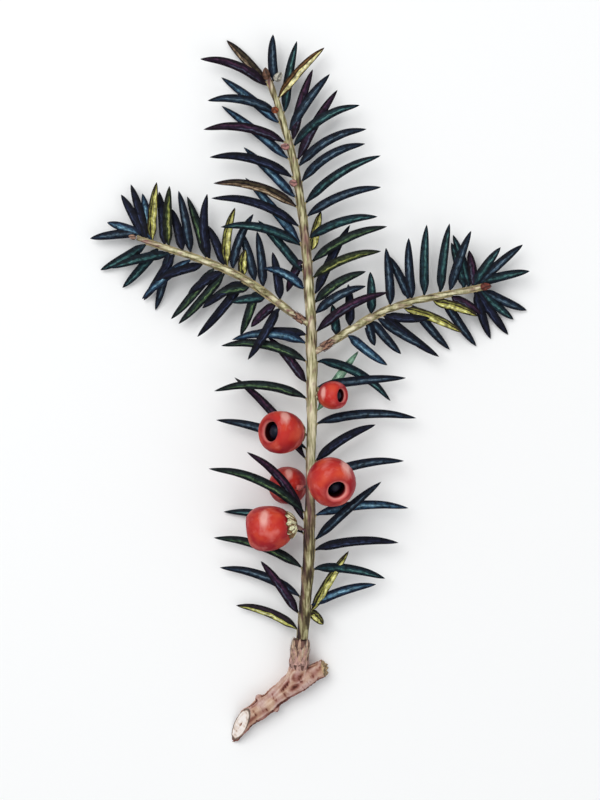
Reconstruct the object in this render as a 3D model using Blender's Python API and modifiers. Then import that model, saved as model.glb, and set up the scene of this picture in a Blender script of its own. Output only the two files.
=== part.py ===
"""A cut fruiting sprig of english yew, lying face up on a surface.

Metres, +Z up. X runs to the right and Y towards the tip of the leading shoot.
The origin is on the surface, under the middle of the sprig's box.
The route tables and the tables of needle ranks are in millimetres and degrees.
"""

import math
import random

import bmesh
import bpy
import numpy as np
from mathutils import Vector

MM = 0.001
GAP = 0.3 * MM              # clear space between solids that meet
MERGE = 0.0001 * MM         # points closer than this are one
UP = Vector((0, 0, 1))

# needles
BLADE_WIDTH = 2.3 * MM
BLADE_THICK = 0.5 * MM
BLADE_STATIONS = (0.0, 0.13, 0.38, 0.66, 0.87)
BLADE_WIDTHS = (0.34, 0.86, 1.0, 0.86, 0.5)
NEEDLE_CLEAR = 0.85 * MM    # height between needles of two masses that cross
LIFT_TRIES = (0, -6, 6, -12, 12, -18, 18, -25, 25, -32)
FLOOR_CLEAR = 0.22 * MM     # lowest centre line of a needle that lies on the surface

# ridges of leaf bases, which run along the stems and carry the needles
RIDGE_WIDTH = 0.9 * MM
RIDGE_THICK = 0.7 * MM
RIDGE_DROP = math.radians(-20)   # they lie a little under the stem's sides
RIDGE_END = 0.9 * MM             # a ridge runs on past its last needle
RIDGE_STEP = 2.6 * MM

# routes that a smooth curve goes through: x, y, z and radius in millimetres
STEMS = {
    "main_stem": (
        (-1.7, -60.0, 5.0, 1.35), (-0.3, -41.0, 8.2, 1.38), (0.3, -17.0, 9.2, 1.1),
        (0.5, 7.0, 8.4, 1.28), (-0.7, 31.0, 6.8, 1.05), (-2.9, 49.0, 5.6, 0.92),
        (-6.0, 62.2, 4.8, 0.75), (-9.6, 73.2, 4.4, 0.6),
    ),
    "left_side_stem": ((-1.6, 15.8, 8.1, 0.85), (-18.7, 27.4, 6.4, 0.8), (-41.3, 35.6, 4.6, 0.55)),
    "right_side_stem": ((2.6, 9.1, 8.3, 0.9), (19.2, 18.7, 6.8, 0.8), (40.8, 23.8, 5.0, 0.6)),
}
STEM_AXIS = {"main_stem": 1, "left_side_stem": 0, "right_side_stem": 0}
ROUTE_POINTS = 80
STEM_POINTS = {"main_stem": 26, "left_side_stem": 14, "right_side_stem": 14}

OLD_WOOD = (
    (-19.9, -85.2, 1.95, 1.95), (-16.6, -81.2, 2.05, 2.05), (-14.1, -78.9, 2.2, 2.2),
    (-11.3, -77.0, 2.35, 2.35), (-7.1, -73.6, 2.3, 2.3), (-4.2, -71.3, 2.65, 2.65),
    (-1.6, -69.8, 2.7, 2.7), (1.6, -68.3, 2.5, 2.1), (5.2, -66.8, 2.6, 2.05),
)
OLD_WOOD_NECK = ((-4.0, -71.2, 2.8, 2.4), (-3.1, -69.4, 3.6, 2.3), (-2.62, -67.15, 4.1, 2.15))
CUT_CENTRE = (-16.45, -80.85, 2.05)
CUT_FACING = (-0.69, 0.03, 0.72)
STUB_CENTRE = (3.3, -67.5, 2.6)
STUB_FACING = (0.95, 0.22, 0.22)
KNOBS = ((-12.1, -74.7, 2.7, 1.0), (-8.3, -76.9, 2.4, 1.2), (-3.5, -71.3, 4.5, 0.95))

# collar of bud scales where the sprig left the old wood
COLLAR_BASE = (-2.6, -66.7, 4.2)
COLLAR_TOP = (-2.1, -60.35, 4.95)
COLLAR_PROFILE = ((0.96, 1.0), (1.0, 0.82), (0.93, 0.55), (1.0, 0.3), (0.9, 0.0))
COLLAR_RADIUS = 2.35
COLLAR_RING = 2.2             # radius of the ring of scales round the foot of the stem
COLLAR_SCALES = 8

# fruits: centre, facing, largest radius and height, then where its stalk leaves the stem
FRUITS = {
    1: dict(centre=(5.5, -1.7, 12.3), facing=(0.76, 0.0, 0.65), radius=3.3, height=6.6, root=-2.6),
    2: dict(centre=(-6.5, -10.6, 13.2), facing=(-0.69, 0.05, 0.72), radius=5.0, height=9.6, root=-11.6),
    3: dict(centre=(5.0, -22.3, 16.8), facing=(0.33, -0.27, 0.9), radius=5.8, height=10.6, root=-21.8),
    4: dict(centre=(-5.0, -23.6, 4.7), facing=(-0.6, 0.1, -0.8), radius=4.5, height=7.6, root=-23.4),
    5: dict(centre=(-9.4, -33.4, 10.6), facing=(-0.98, -0.05, -0.12), radius=5.3, height=10.4, root=-34.4),
}
# a fruit's section from the bottom of its cavity, over its rim and down its outside, as shares of
# its radius and height
CUP_PROFILE = (
    (0.0, 0.2), (0.3, 0.24), (0.46, 0.42), (0.48, 0.6), (0.42, 0.78), (0.37, 0.9), (0.42, 0.97),
    (0.52, 1.0), (0.68, 0.97), (0.87, 0.87), (0.98, 0.72), (1.0, 0.52), (0.93, 0.32), (0.74, 0.13),
    (0.42, 0.02), (0.0, 0.0),
)
SEED_PROFILE = (
    (0.0, 0.78), (0.16, 0.75), (0.32, 0.65), (0.385, 0.52), (0.35, 0.38), (0.22, 0.28), (0.0, 0.26),
)
TURN_STEPS = 16
STALK_RADII = (0.7, 0.82, 0.95)   # of its tiers of scales, from the stem to the fruit

# buds: where on which stem, facing, radius and length
BUDS = {
    "leader_tip_bud": dict(foot=(-10.2, 74.3, 4.5), facing=(-0.35, 0.93, 0.1), radius=0.8, length=2.3),
    "leader_pale_bud": dict(foot=(-7.9, 72.9, 5.1), facing=(0.4, 0.8, 0.3), radius=0.7, length=2.0),
    "leader_side_bud_high": dict(foot=(-8.1, 65.9, 5.6), facing=(-0.2, 0.3, 0.9), radius=0.8, length=1.5),
    "leader_side_bud_mid": dict(foot=(-5.2, 57.2, 6.2), facing=(-0.7, 0.2, 0.7), radius=0.8, length=1.6),
    "leader_side_bud_low": dict(foot=(-3.5, 48.4, 6.6), facing=(-0.6, 0.0, 0.8), radius=0.85, length=1.7),
    "left_tip_bud": dict(foot=(-41.85, 35.6, 5.0), facing=(-0.7, 0.15, 0.7), radius=0.7, length=1.8),
    "right_tip_bud": dict(foot=(41.3, 23.95, 5.1), facing=(0.98, 0.15, 0.1), radius=0.75, length=2.2),
}
BUD_PROFILE = ((0.0, 1.0), (0.45, 0.88), (0.9, 0.6), (1.0, 0.38), (0.75, 0.12), (0.4, 0.0), (0.0, 0.0))

# rings of scales where the side shoots leave the main stem: which stem, where on it, outer radius
JOINT_RINGS = {
    "left_joint_scales": ("left_side_stem", -3.0, 1.7),
    "right_joint_scales": ("right_side_stem", 4.4, 1.8),
}
RING_LENGTH = 1.7
RING_SCALES = 4

# ranks of needles. Places are on the stem (y on the main stem, x on the side stems), headings and
# lengths are from a needle's root to its tip, turn bends it in plan, and lift and level are its
# slopes at the root and at the tip.
RANKS = {
    "leader_left_high": (
        dict(stem="main_stem", side=1, turn=45, lift=8, level=0, places=(73, 66.4, 59.3, 50.8),
             headings=(157, 169, 170, 165), lengths=(17, 16.5, 19.5, 20.2)),
        dict(stem="main_stem", side=1, turn=8, lift=-8, level=-18, places=(73.9, 64, 55.3),
             headings=(131, 140, 140), lengths=(14, 18, 20.8)),
    ),
    "leader_left_low": (
        dict(stem="main_stem", side=1, turn=45, lift=12, level=4, places=(43.6, 38.9, 34.3, 24),
             headings=(163, 161, 166, 152), lengths=(20.6, 22, 19.6, 10.4)),
        dict(stem="main_stem", side=1, turn=8, lift=-8, level=-14, places=(46, 35, 28.2, 30),
             headings=(134, 129, 130, 246), lengths=(18, 20.6, 16, 8)),
    ),
    "leader_right_high": (
        dict(stem="main_stem", side=-1, turn=-14, lift=4, level=-4,
             places=(73.6, 69.4, 66, 61.6, 59.4, 54.6), headings=(92, 48, 81, 55, 75, 61),
             lengths=(10.5, 15.7, 16.8, 16, 17, 18.7)),
        dict(stem="main_stem", side=-1, turn=-48, lift=10, level=0, places=(57.8, 53, 49.4),
             headings=(33, 30, 32), lengths=(18.5, 18.4, 17.5)),
    ),
    "leader_right_low": (
        dict(stem="main_stem", side=-1, turn=-36, lift=12, level=4,
             places=(44.2, 41, 35.8, 30.2, 26.4, 20.6, 18, 13.6), headings=(33, 22, 18, 26, 22, 32, 29, 30),
             lengths=(21, 18.8, 16.7, 19.5, 17, 13.8, 13.2, 19.1)),
        dict(stem="main_stem", side=-1, turn=-10, lift=-6, level=-12, places=(33.2, 22.6),
             headings=(78, 64), lengths=(9.2, 18.3)),
    ),
    "stem_left_top": (
        dict(stem="main_stem", side=1, turn=46, lift=-4, level=-6, places=(10.8, 6.5, -2.4),
             headings=(176, 168, 174), lengths=(17.6, 20.7, 22.2)),
        dict(stem="main_stem", side=1, turn=16, lift=-14, level=-16, places=(12.8, 1.7),
             headings=(179, 129), lengths=(13.5, 14)),
    ),
    "stem_left_above_fruit": (
        dict(stem="main_stem", side=1, turn=24, lift=-18, level=-4, places=(-14.2, -16.6),
             headings=(162, 130), lengths=(22.7, 26)),
    ),
    "stem_left_below_fruit": (
        dict(stem="main_stem", side=1, turn=46, lift=14, level=2, places=(-29.4, -31.2),
             headings=(153, 127), lengths=(25.4, 21.4)),
    ),
    "stem_left_low": (
        dict(stem="main_stem", side=1, turn=34, lift=-14, level=-8, places=(-34.4, -42.7, -49.7, -57.6),
             headings=(165, 161, 160, 159), lengths=(21, 22.5, 20.4, 15.5)),
        dict(stem="main_stem", side=1, turn=10, lift=8, level=0, places=(-53.6,), headings=(125,),
             lengths=(14.7,)),
    ),
    "stem_right_top": (
        dict(stem="main_stem", side=-1, turn=-46, lift=-16, level=-4, places=(6.2,), headings=(-27,),
             lengths=(20.4,)),
        dict(stem="main_stem", side=-1, turn=-10, lift=-16, level=-8, places=(0.2, -5),
             headings=(6, 56), lengths=(21.2, 17)),
    ),
    "stem_right_mid": (
        dict(stem="main_stem", side=-1, turn=-30, lift=-10, level=-4, places=(-8.4, -17, -21.8, -30.2),
             headings=(4, 32, 13, 5), lengths=(23.8, 16.2, 21.5, 22.2)),
    ),
    "stem_right_low": (
        dict(stem="main_stem", side=-1, turn=-26, lift=-8, level=-8, places=(-38.4, -43, -51.6),
             headings=(5, -8, 18), lengths=(19.8, 17, 15.9)),
        dict(stem="main_stem", side=-1, turn=-8, lift=4, level=0, places=(-35.8, -52.8, -54),
             headings=(42, 59, -45), lengths=(20.4, 16.3, 3.6)),
    ),
    "left_upper_outer": (
        dict(stem="left_side_stem", side=-1, turn=8, lift=-4, level=-12,
             places=(-41.9, -41.6, -40.4, -39.7, -38.6, -35.2, -31, -29),
             headings=(186, 160, 118, 106, 100, 96, 104, 101),
             lengths=(11.5, 8, 11.3, 13.2, 11, 12.5, 9.7, 14.8)),
        dict(stem="left_side_stem", side=-1, turn=-12, lift=14, level=2, places=(-38.2, -34.2),
             headings=(85, 89), lengths=(13.4, 13.7)),
    ),
    "left_upper_inner": (
        dict(stem="left_side_stem", side=-1, turn=10, lift=-8, level=-8,
             places=(-25.4, -21.2, -14, -12, -8), headings=(107, 113, 106, 96, 99),
             lengths=(15.8, 9.8, 12.5, 12.9, 10.8)),
        dict(stem="left_side_stem", side=-1, turn=-30, lift=0, level=-4,
             places=(-24.6, -20.4, -19, -16.6), headings=(93, 83, 70, 85),
             lengths=(15.2, 13.7, 13.6, 5.4)),
    ),
    "left_lower_outer": (
        dict(stem="left_side_stem", side=1, turn=-8, lift=-12, level=-22,
             places=(-39.4, -36.4, -33.4, -32.4), headings=(208, 227, 256, 236),
             lengths=(12.5, 12.7, 14.3, 13.3)),
        dict(stem="left_side_stem", side=1, turn=16, lift=10, level=0, places=(-33.8, -28.6, -25.8),
             headings=(194, 219, 199), lengths=(13.7, 14.4, 11.2)),
    ),
    "left_lower_inner": (
        dict(stem="left_side_stem", side=1, turn=-8, lift=-6, level=-10,
             places=(-22.8, -20.2, -15.6, -12.2, -6.8), headings=(230, 228, 230, 251, 240),
             lengths=(15.4, 16, 16.5, 10.7, 14)),
        dict(stem="left_side_stem", side=1, turn=14, lift=6, level=-2,
             places=(-21, -16.2, -14.4, -10.6, -8), headings=(213, 214, 191, 187, 224),
             lengths=(9, 10.6, 7.6, 7.4, 7.2)),
    ),
    "right_upper_inner": (
        dict(stem="right_side_stem", side=1, turn=8, lift=-12, level=-8, places=(7.2, 10.4, 15.4, 19.8),
             headings=(98, 92, 91, 94), lengths=(6.8, 9.4, 9.4, 13.4)),
    ),
    "right_upper_outer": (
        dict(stem="right_side_stem", side=1, turn=-10, lift=4, level=0,
             places=(24.8, 27.8, 31.6, 34, 39.8, 41.2, 41.8), headings=(94, 89, 83, 71, 55, 42, 13),
             lengths=(13.8, 16.3, 16, 14.5, 10.6, 13.5, 11.4)),
        dict(stem="right_side_stem", side=1, turn=8, lift=-12, level=-18, places=(24, 37.2, 38.4, 39.6),
             headings=(114, 105, 106, 97), lengths=(11.9, 11.2, 13.2, 8.4)),
    ),
    "right_lower_inner": (
        dict(stem="right_side_stem", side=-1, turn=10, lift=-4, level=-8,
             places=(9, 13.4, 14.6, 16.2, 17.6), headings=(-38, -74, -49, -31, -37),
             lengths=(11.1, 5, 9.9, 14.4, 16)),
        dict(stem="right_side_stem", side=-1, turn=14, lift=8, level=-2, places=(18.2,), headings=(-4,),
             lengths=(10,)),
    ),
    "right_lower_outer": (
        dict(stem="right_side_stem", side=-1, turn=10, lift=-12, level=-26,
             places=(24.6, 32, 39.6, 40.4, 41.2, 41.8), headings=(-49, -54, -71, -54, -40, -23),
             lengths=(14.2, 14.3, 12, 13, 10.6, 11.8)),
        dict(stem="right_side_stem", side=-1, turn=-20, lift=16, level=3, places=(22.8, 30, 34.4),
             headings=(-22, -18, -30), lengths=(14.4, 10.6, 7.4)),
    ),
}
LIFT_JITTER = 2.5
ROLL_JITTER = 0.22


def clear_scene():
    for obj in list(bpy.data.objects):
        bpy.data.objects.remove(obj)


def material(name, colour, roughness):
    made = bpy.data.materials.new(name)
    made.use_nodes = True
    shader = made.node_tree.nodes["Principled BSDF"]
    shader.inputs["Base Color"].default_value = (*colour, 1)
    shader.inputs["Roughness"].default_value = roughness
    return made


def finish(obj, look, collection):
    """Name, smooth and dress a finished piece, and put it in the sprig's collection."""
    for place in list(obj.users_collection):
        place.objects.unlink(obj)
    collection.objects.link(obj)
    obj.data.name = obj.name
    obj.data.materials.clear()
    obj.data.materials.append(look)
    obj.data.shade_smooth()
    obj.data.set_sharp_from_angle(angle=math.radians(50))
    return obj


def smooth_route(route, count):
    """Rows of x, y, z and radius in metres, at even steps of a Catmull-Rom curve through the route."""
    points = np.array(route, dtype=float) * MM
    padded = np.vstack([2 * points[0] - points[1], points, 2 * points[-1] - points[-2]])
    rows = []
    for index in range(len(points) - 1):
        a, b, c, d = padded[index:index + 4]
        for t in np.linspace(0, 1, 24, endpoint=False):
            rows.append(0.5 * (2 * b + (c - a) * t + (2 * a - 5 * b + 4 * c - d) * t ** 2
                               + (3 * b - a - 3 * c + d) * t ** 3))
    rows = np.array(rows + [points[-1]])
    walked = np.concatenate([[0], np.cumsum(np.linalg.norm(np.diff(rows[:, :3], axis=0), axis=1))])
    steps = np.linspace(0, walked[-1], count)
    return np.column_stack([np.interp(steps, walked, rows[:, column]) for column in range(4)])


def station(stem, place):
    """Point, direction and radius of a stem at a place, which is y or x in metres.

    Past either end the place lies on the stem's line carried straight on.
    """
    rows = ROUTES[stem]
    axis = STEM_AXIS[stem]
    order = 1 if rows[-1, axis] > rows[0, axis] else -1

    def at(value):
        return np.array([np.interp(value * order, rows[:, axis] * order, column) for column in rows.T])

    inside = min(max(place, rows[:, axis].min() + MM), rows[:, axis].max() - MM)
    here = at(inside)
    ahead = Vector((at(inside + order * MM) - at(inside - order * MM))[:3])
    point = Vector(here[:3]) + ahead * ((place - inside) / ahead[axis])
    return point, ahead.normalized(), here[3]


def mesh_object(name, verts, faces, collection):
    mesh = bpy.data.meshes.new(name)
    mesh.from_pydata([tuple(vert) for vert in verts], [], faces)
    build = bmesh.new()
    build.from_mesh(mesh)
    bmesh.ops.recalc_face_normals(build, faces=build.faces)
    bmesh.ops.triangulate(build, faces=build.faces)
    build.to_mesh(mesh)
    build.free()
    obj = bpy.data.objects.new(name, mesh)
    collection.objects.link(obj)
    return obj


def tube(name, rows, collection, resolution=2):
    """A round limb along rows of points and radii, as a closed mesh."""
    curve = bpy.data.curves.new(name, "CURVE")
    curve.dimensions = "3D"
    curve.bevel_depth = 1.0
    curve.bevel_resolution = resolution
    curve.use_fill_caps = True
    spline = curve.splines.new("POLY")
    spline.points.add(len(rows) - 1)
    for point, row in zip(spline.points, rows):
        point.co = (row[0], row[1], row[2], 1)
        point.radius = row[3]
    guide = bpy.data.objects.new(name + "_guide", curve)
    collection.objects.link(guide)
    mesh = bpy.data.meshes.new_from_object(guide.evaluated_get(bpy.context.evaluated_depsgraph_get()))
    build = bmesh.new()
    build.from_mesh(mesh)
    bmesh.ops.remove_doubles(build, verts=build.verts, dist=0.00001)
    bmesh.ops.recalc_face_normals(build, faces=build.faces)
    build.to_mesh(mesh)
    build.free()
    obj = bpy.data.objects.new(name, mesh)
    obj.matrix_world = guide.matrix_world
    collection.objects.link(obj)
    bpy.data.objects.remove(guide)
    bpy.data.curves.remove(curve)
    return obj


def turned(name, profile, foot, facing, collection, steps=TURN_STEPS, closed=False):
    """A turned solid: a profile of radius and height, standing on foot and facing a direction."""
    mesh = bpy.data.meshes.new(name)
    verts = [(radius, 0, height) for radius, height in profile]
    edges = [(index, index + 1) for index in range(len(verts) - 1)]
    if closed:
        edges.append((len(verts) - 1, 0))
    mesh.from_pydata(verts, edges, [])
    obj = bpy.data.objects.new(name, mesh)
    collection.objects.link(obj)
    screw = obj.modifiers.new("turn", "SCREW")
    screw.steps = steps
    screw.render_steps = steps
    screw.use_merge_vertices = True
    screw.merge_threshold = 0.00001
    obj.rotation_mode = "QUATERNION"
    obj.rotation_quaternion = Vector(facing).to_track_quat("Z", "Y")
    obj.location = foot
    return applied(obj, collection)


def applied(obj, collection):
    """The object as a plain mesh with its modifiers and place applied, facing outwards."""
    bpy.context.view_layer.update()
    mesh = bpy.data.meshes.new_from_object(obj.evaluated_get(bpy.context.evaluated_depsgraph_get()))
    mesh.transform(obj.matrix_world)
    build = bmesh.new()
    build.from_mesh(mesh)
    bmesh.ops.remove_doubles(build, verts=build.verts, dist=MERGE)
    bmesh.ops.recalc_face_normals(build, faces=build.faces)
    build.to_mesh(mesh)
    build.free()
    name = obj.name
    bpy.data.objects.remove(obj)
    plain = bpy.data.objects.new(name, mesh)
    collection.objects.link(plain)
    return plain


def join_all(name, body, extras, collection):
    """One Boolean union of a body with the objects of a collection, applied."""
    union = body.modifiers.new("join", "BOOLEAN")
    union.operation = "UNION"
    union.operand_type = "COLLECTION"
    union.collection = extras
    union.solver = "EXACT"
    joined = applied(body, collection)
    joined.name = name
    for obj in list(extras.objects):
        bpy.data.objects.remove(obj)
    bpy.data.collections.remove(extras)
    return joined


def cut_with(body, cutter, collection):
    cutter.hide_render = True
    cutter.display_type = "WIRE"
    cut = body.modifiers.new("cut", "BOOLEAN")
    cut.operation = "DIFFERENCE"
    cut.object = cutter
    cut.solver = "EXACT"
    trimmed = applied(body, collection)
    bpy.data.objects.remove(cutter)
    return trimmed


def spare_collection(name):
    made = bpy.data.collections.new(name)
    bpy.context.scene.collection.children.link(made)
    return made


def blade_frame(along, roll):
    """Side and face directions of a flat blade that runs along a direction."""
    side = UP.cross(along).normalized()
    face = along.cross(side).normalized()
    return side * math.cos(roll) + face * math.sin(roll), face * math.cos(roll) - side * math.sin(roll)


def blade(name, centres, widths, thick, roll, tip, collection):
    """A flat pointed blade: a four-sided section carried along its centre line."""
    verts = []
    for index, (centre, width) in enumerate(zip(centres, widths)):
        after = centres[index + 1] if index + 1 < len(centres) else (tip or centre)
        before = centres[index - 1] if index else centre
        side, face = blade_frame((after - before).normalized(), roll)
        height = thick * min(1.0, 0.55 + 0.5 * width / widths[len(widths) // 2])
        verts += [centre + side * width / 2, centre + face * height / 2,
                  centre - side * width / 2, centre - face * height / 2]
    faces = [(3, 2, 1, 0)]
    for ring in range(len(centres) - 1):
        for corner in range(4):
            after = (corner + 1) % 4
            low = 4 * ring
            faces.append((low + corner, low + after, low + 4 + after, low + 4 + corner))
    last = 4 * (len(centres) - 1)
    if tip:
        verts.append(tip)
        for corner in range(4):
            faces.append((last + corner, last + (corner + 1) % 4, last + 4))
    else:
        faces.append((last, last + 1, last + 2, last + 3))
    return mesh_object(name, verts, faces, collection)


def needle_line(root, heading, length, turn, lift, level):
    """Centre line of a needle at its stations and at its tip: it bends in plan and in slope."""
    stations = BLADE_STATIONS + (1.0,)
    line = [Vector(root)]
    for start, end in zip(stations, stations[1:]):
        middle = (start + end) / 2
        plan = math.radians(heading + turn * (middle - 0.45))
        slope = math.radians(lift + (level - lift) * middle)
        step = Vector((math.cos(plan) * math.cos(slope), math.sin(plan) * math.cos(slope), math.sin(slope)))
        point = line[-1] + step * length * (end - start)
        point.z = max(point.z, FLOOR_CLEAR)
        line.append(point)
    return line


def needle_samples(line):
    """Rows of points down the middle and both edges of a needle."""
    stations = BLADE_STATIONS + (1.0,)
    widths = tuple(BLADE_WIDTHS) + (0.1,)
    steps = np.linspace(0.04, 1, 16)
    middle = np.column_stack([np.interp(steps, stations, column) for column in np.array(line).T])
    half = np.interp(steps, stations, widths) * BLADE_WIDTH / 2
    ahead = np.gradient(middle, axis=0)
    side = np.column_stack([-ahead[:, 1], ahead[:, 0], np.zeros(len(steps))])
    side /= np.linalg.norm(side, axis=1)[:, None]
    return np.vstack([middle, middle + side * half[:, None], middle - side * half[:, None]])


def keeps_clear(samples, mass, placed):
    """True where a needle touches no fruit, no stem and no needle of another mass."""
    for centre, radius in FRUIT_SPACES:
        if (np.linalg.norm(samples - centre, axis=1) < radius + GAP + BLADE_THICK / 2).any():
            return False
    for rows in ROUTES.values():
        away = np.linalg.norm(samples[:, None, :] - rows[None, :, :3], axis=2) - rows[None, :, 3]
        if (away < GAP).any():
            return False
    for other, points in placed:
        if other == mass:
            continue
        apart = samples[:, None, :] - points[None, :, :]
        near = np.hypot(apart[:, :, 0], apart[:, :, 1]) < 0.55 * BLADE_WIDTH
        if (near & (np.abs(apart[:, :, 2]) < NEEDLE_CLEAR)).any():
            return False
    return True


def ridge_offset(ahead, side, radius):
    """From a stem's axis to the ridge of leaf bases beside it."""
    out = UP.cross(ahead).normalized() * side
    lean = out * math.cos(RIDGE_DROP) + UP * math.sin(RIDGE_DROP)
    return lean * (radius + GAP + RIDGE_WIDTH / 2)


def ridge_line(ranks):
    """Centre line of the ridge of leaf bases that carries a mass's ranks."""
    ends = [place * MM for rank in ranks for place in rank["places"]]
    low, high = min(ends) - RIDGE_END, max(ends) + RIDGE_END
    centres = []
    for place in np.linspace(low, high, max(4, int((high - low) / RIDGE_STEP))):
        point, ahead, radius = station(ranks[0]["stem"], place)
        centres.append(point + ridge_offset(ahead, ranks[0]["side"], radius))
    return centres


def rank_needles(rank, draw):
    """Root, heading, length, lift and roll of each needle of a rank."""
    for place, heading, length in zip(rank["places"], rank["headings"], rank["lengths"]):
        point, ahead, radius = station(rank["stem"], place * MM)
        root = point + ridge_offset(ahead, rank["side"], radius)
        lift = rank["lift"] + draw.uniform(-LIFT_JITTER, LIFT_JITTER)
        yield root, heading, length * MM, lift, draw.uniform(-ROLL_JITTER, ROLL_JITTER)


def needle_mass(name, ranks, look, collection, placed, draw):
    """One mass: a ridge of leaf bases along the stem with its ranks of needles fused on."""
    centres = ridge_line(ranks)
    ridge = blade(name, centres, [RIDGE_WIDTH] * len(centres), RIDGE_THICK, 0.0, None, collection)
    extras = spare_collection(name + "_needles")
    widths = [BLADE_WIDTH * share for share in BLADE_WIDTHS]
    for rank in ranks:
        for root, heading, length, lift, roll in rank_needles(rank, draw):
            for more in LIFT_TRIES:
                line = needle_line(root, heading, length, rank["turn"], lift + more, rank["level"])
                samples = needle_samples(line)
                if keeps_clear(samples, name, placed):
                    break
            else:
                print("skipped a needle of", name, [round(value / MM, 1) for value in root])
                continue
            placed.append((name, samples))
            blade("needle", line[:-1], widths, BLADE_THICK, roll, line[-1], extras)
    return finish(join_all(name, ridge, extras, collection), look, collection)


def stems(look, collection):
    for name, rows in ROUTES.items():
        steps = np.linspace(0, len(rows) - 1, STEM_POINTS[name])
        few = np.column_stack([np.interp(steps, np.arange(len(rows)), column) for column in rows.T])
        finish(tube(name, few, collection), look, collection)


def slab_cutter(name, centre, facing, collection):
    """A block whose face lies on a cut, on the side that goes."""
    size = 14 * MM
    facing = Vector(facing).normalized()
    bpy.ops.mesh.primitive_cube_add(size=size)
    block = bpy.context.active_object
    block.name = name
    block.rotation_mode = "QUATERNION"
    block.rotation_quaternion = facing.to_track_quat("Z", "Y")
    block.location = Vector(centre) * MM + facing * size / 2
    for place in list(block.users_collection):
        place.objects.unlink(block)
    collection.objects.link(block)
    bpy.context.view_layer.update()
    return block


def old_wood(look, collection, cutters):
    """The piece of old wood at the foot: slanting cut, knobs, neck and broken stub."""
    body = tube("old_wood", smooth_route(OLD_WOOD, 22), collection, 3)
    extras = spare_collection("old_wood_parts")
    tube("neck", smooth_route(OLD_WOOD_NECK, 6), extras, 3)
    for x, y, z, radius in KNOBS:
        bpy.ops.mesh.primitive_ico_sphere_add(subdivisions=2, radius=radius * MM,
                                              location=(x * MM, y * MM, z * MM))
        knob = bpy.context.active_object
        for place in list(knob.users_collection):
            place.objects.unlink(knob)
        extras.objects.link(knob)
    body = join_all("old_wood", body, extras, collection)
    body = cut_with(body, slab_cutter("slanting_cut", CUT_CENTRE, CUT_FACING, cutters), collection)
    body = cut_with(body, slab_cutter("broken_end", STUB_CENTRE, STUB_FACING, cutters), collection)
    body.name = "old_wood"
    return finish(body, look, collection)


def scales_round(foot, facing, radius, length, count, width, flare, extras):
    """Pointed scales that stand in a ring round an axis."""
    turn = Vector(facing).to_track_quat("Z", "Y")
    for index in range(count):
        angle = math.tau * index / count
        out = turn @ Vector((math.cos(angle), math.sin(angle), 0))
        axis = turn @ UP
        root = foot + out * radius
        line = [root - axis * 0.35 * length, root + axis * 0.25 * length,
                root + axis * 0.7 * length + out * flare]
        tip = root + axis * length + out * flare * 1.6
        widths = [width, width * 0.95, width * 0.55]
        ring_scale(line, widths, tip, out, axis, extras)


def ring_scale(line, widths, tip, out, axis, extras):
    across = axis.cross(out).normalized()
    verts = []
    for centre, width in zip(line, widths):
        verts += [centre + across * width / 2, centre + out * 0.22 * MM,
                  centre - across * width / 2, centre - out * 0.22 * MM]
    verts.append(tip)
    faces = [(3, 2, 1, 0)]
    for low in (0, 4):
        for corner in range(4):
            after = (corner + 1) % 4
            faces.append((low + corner, low + after, low + 4 + after, low + 4 + corner))
    faces += [(8 + corner, 8 + (corner + 1) % 4, 12) for corner in range(4)]
    mesh_object("scale", verts, faces, extras)


def scale_collar(look, collection):
    foot = Vector(COLLAR_BASE) * MM
    top = Vector(COLLAR_TOP) * MM
    facing = top - foot
    length = facing.length
    profile = [(0.0, length)]
    profile += [(share * COLLAR_RADIUS * MM, height * length) for share, height in COLLAR_PROFILE]
    profile.append((0.0, 0.0))
    body = turned("bud_scale_collar", profile, foot, facing, collection, steps=14)
    extras = spare_collection("collar_scales")
    scales_round(top, facing, COLLAR_RING * MM, 1.5 * MM, COLLAR_SCALES, 1.25 * MM, 0.1 * MM, extras)
    finish(join_all("bud_scale_collar", body, extras, collection), look, collection)


def joint_rings(look, collection):
    """A short sleeve of scales round the foot of each side shoot."""
    for name, (stem, place, outer) in JOINT_RINGS.items():
        point, ahead, radius = station(stem, place * MM)
        inner = radius + GAP
        half = RING_LENGTH * MM / 2
        profile = ((inner, half), (outer * MM * 0.8, half), (outer * MM, 0.0),
                   (outer * MM * 0.85, -half), (inner, -half))
        body = turned(name, profile, point, ahead, collection, steps=12, closed=True)
        extras = spare_collection(name + "_scales")
        scales_round(point + ahead * half * 0.4, ahead, (inner + outer * MM) / 2 + 0.12 * MM, 1.6 * MM,
                     RING_SCALES, 1.1 * MM, 0.25 * MM, extras)
        finish(join_all(name, body, extras, collection), look, collection)


def fruit_axes(fruit):
    """Foot and unit facing of a fruit cup, in metres."""
    facing = Vector(fruit["facing"]).normalized()
    foot = Vector(fruit["centre"]) * MM - facing * fruit["height"] * MM * 0.5
    return foot, facing


def scaled_profile(profile, fruit):
    return [(radius * fruit["radius"] * MM, height * fruit["height"] * MM) for radius, height in profile]


def fruits(looks, collection):
    """Red fleshy cups with a dark seed in each, on short scaly stalks."""
    for number, fruit in FRUITS.items():
        foot, facing = fruit_axes(fruit)
        cup_outline = scaled_profile(CUP_PROFILE, fruit)
        cup = turned(f"fruit_cup_{number}", cup_outline, foot, facing, collection)
        finish(cup, looks["cup"], collection)
        seed_outline = scaled_profile(SEED_PROFILE, fruit)
        seed = turned(f"seed_{number}", seed_outline, foot, facing, collection, steps=12)
        finish(seed, looks["seed"], collection)
        stalk(number, fruit, foot, facing, looks["scale"], collection)


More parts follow.
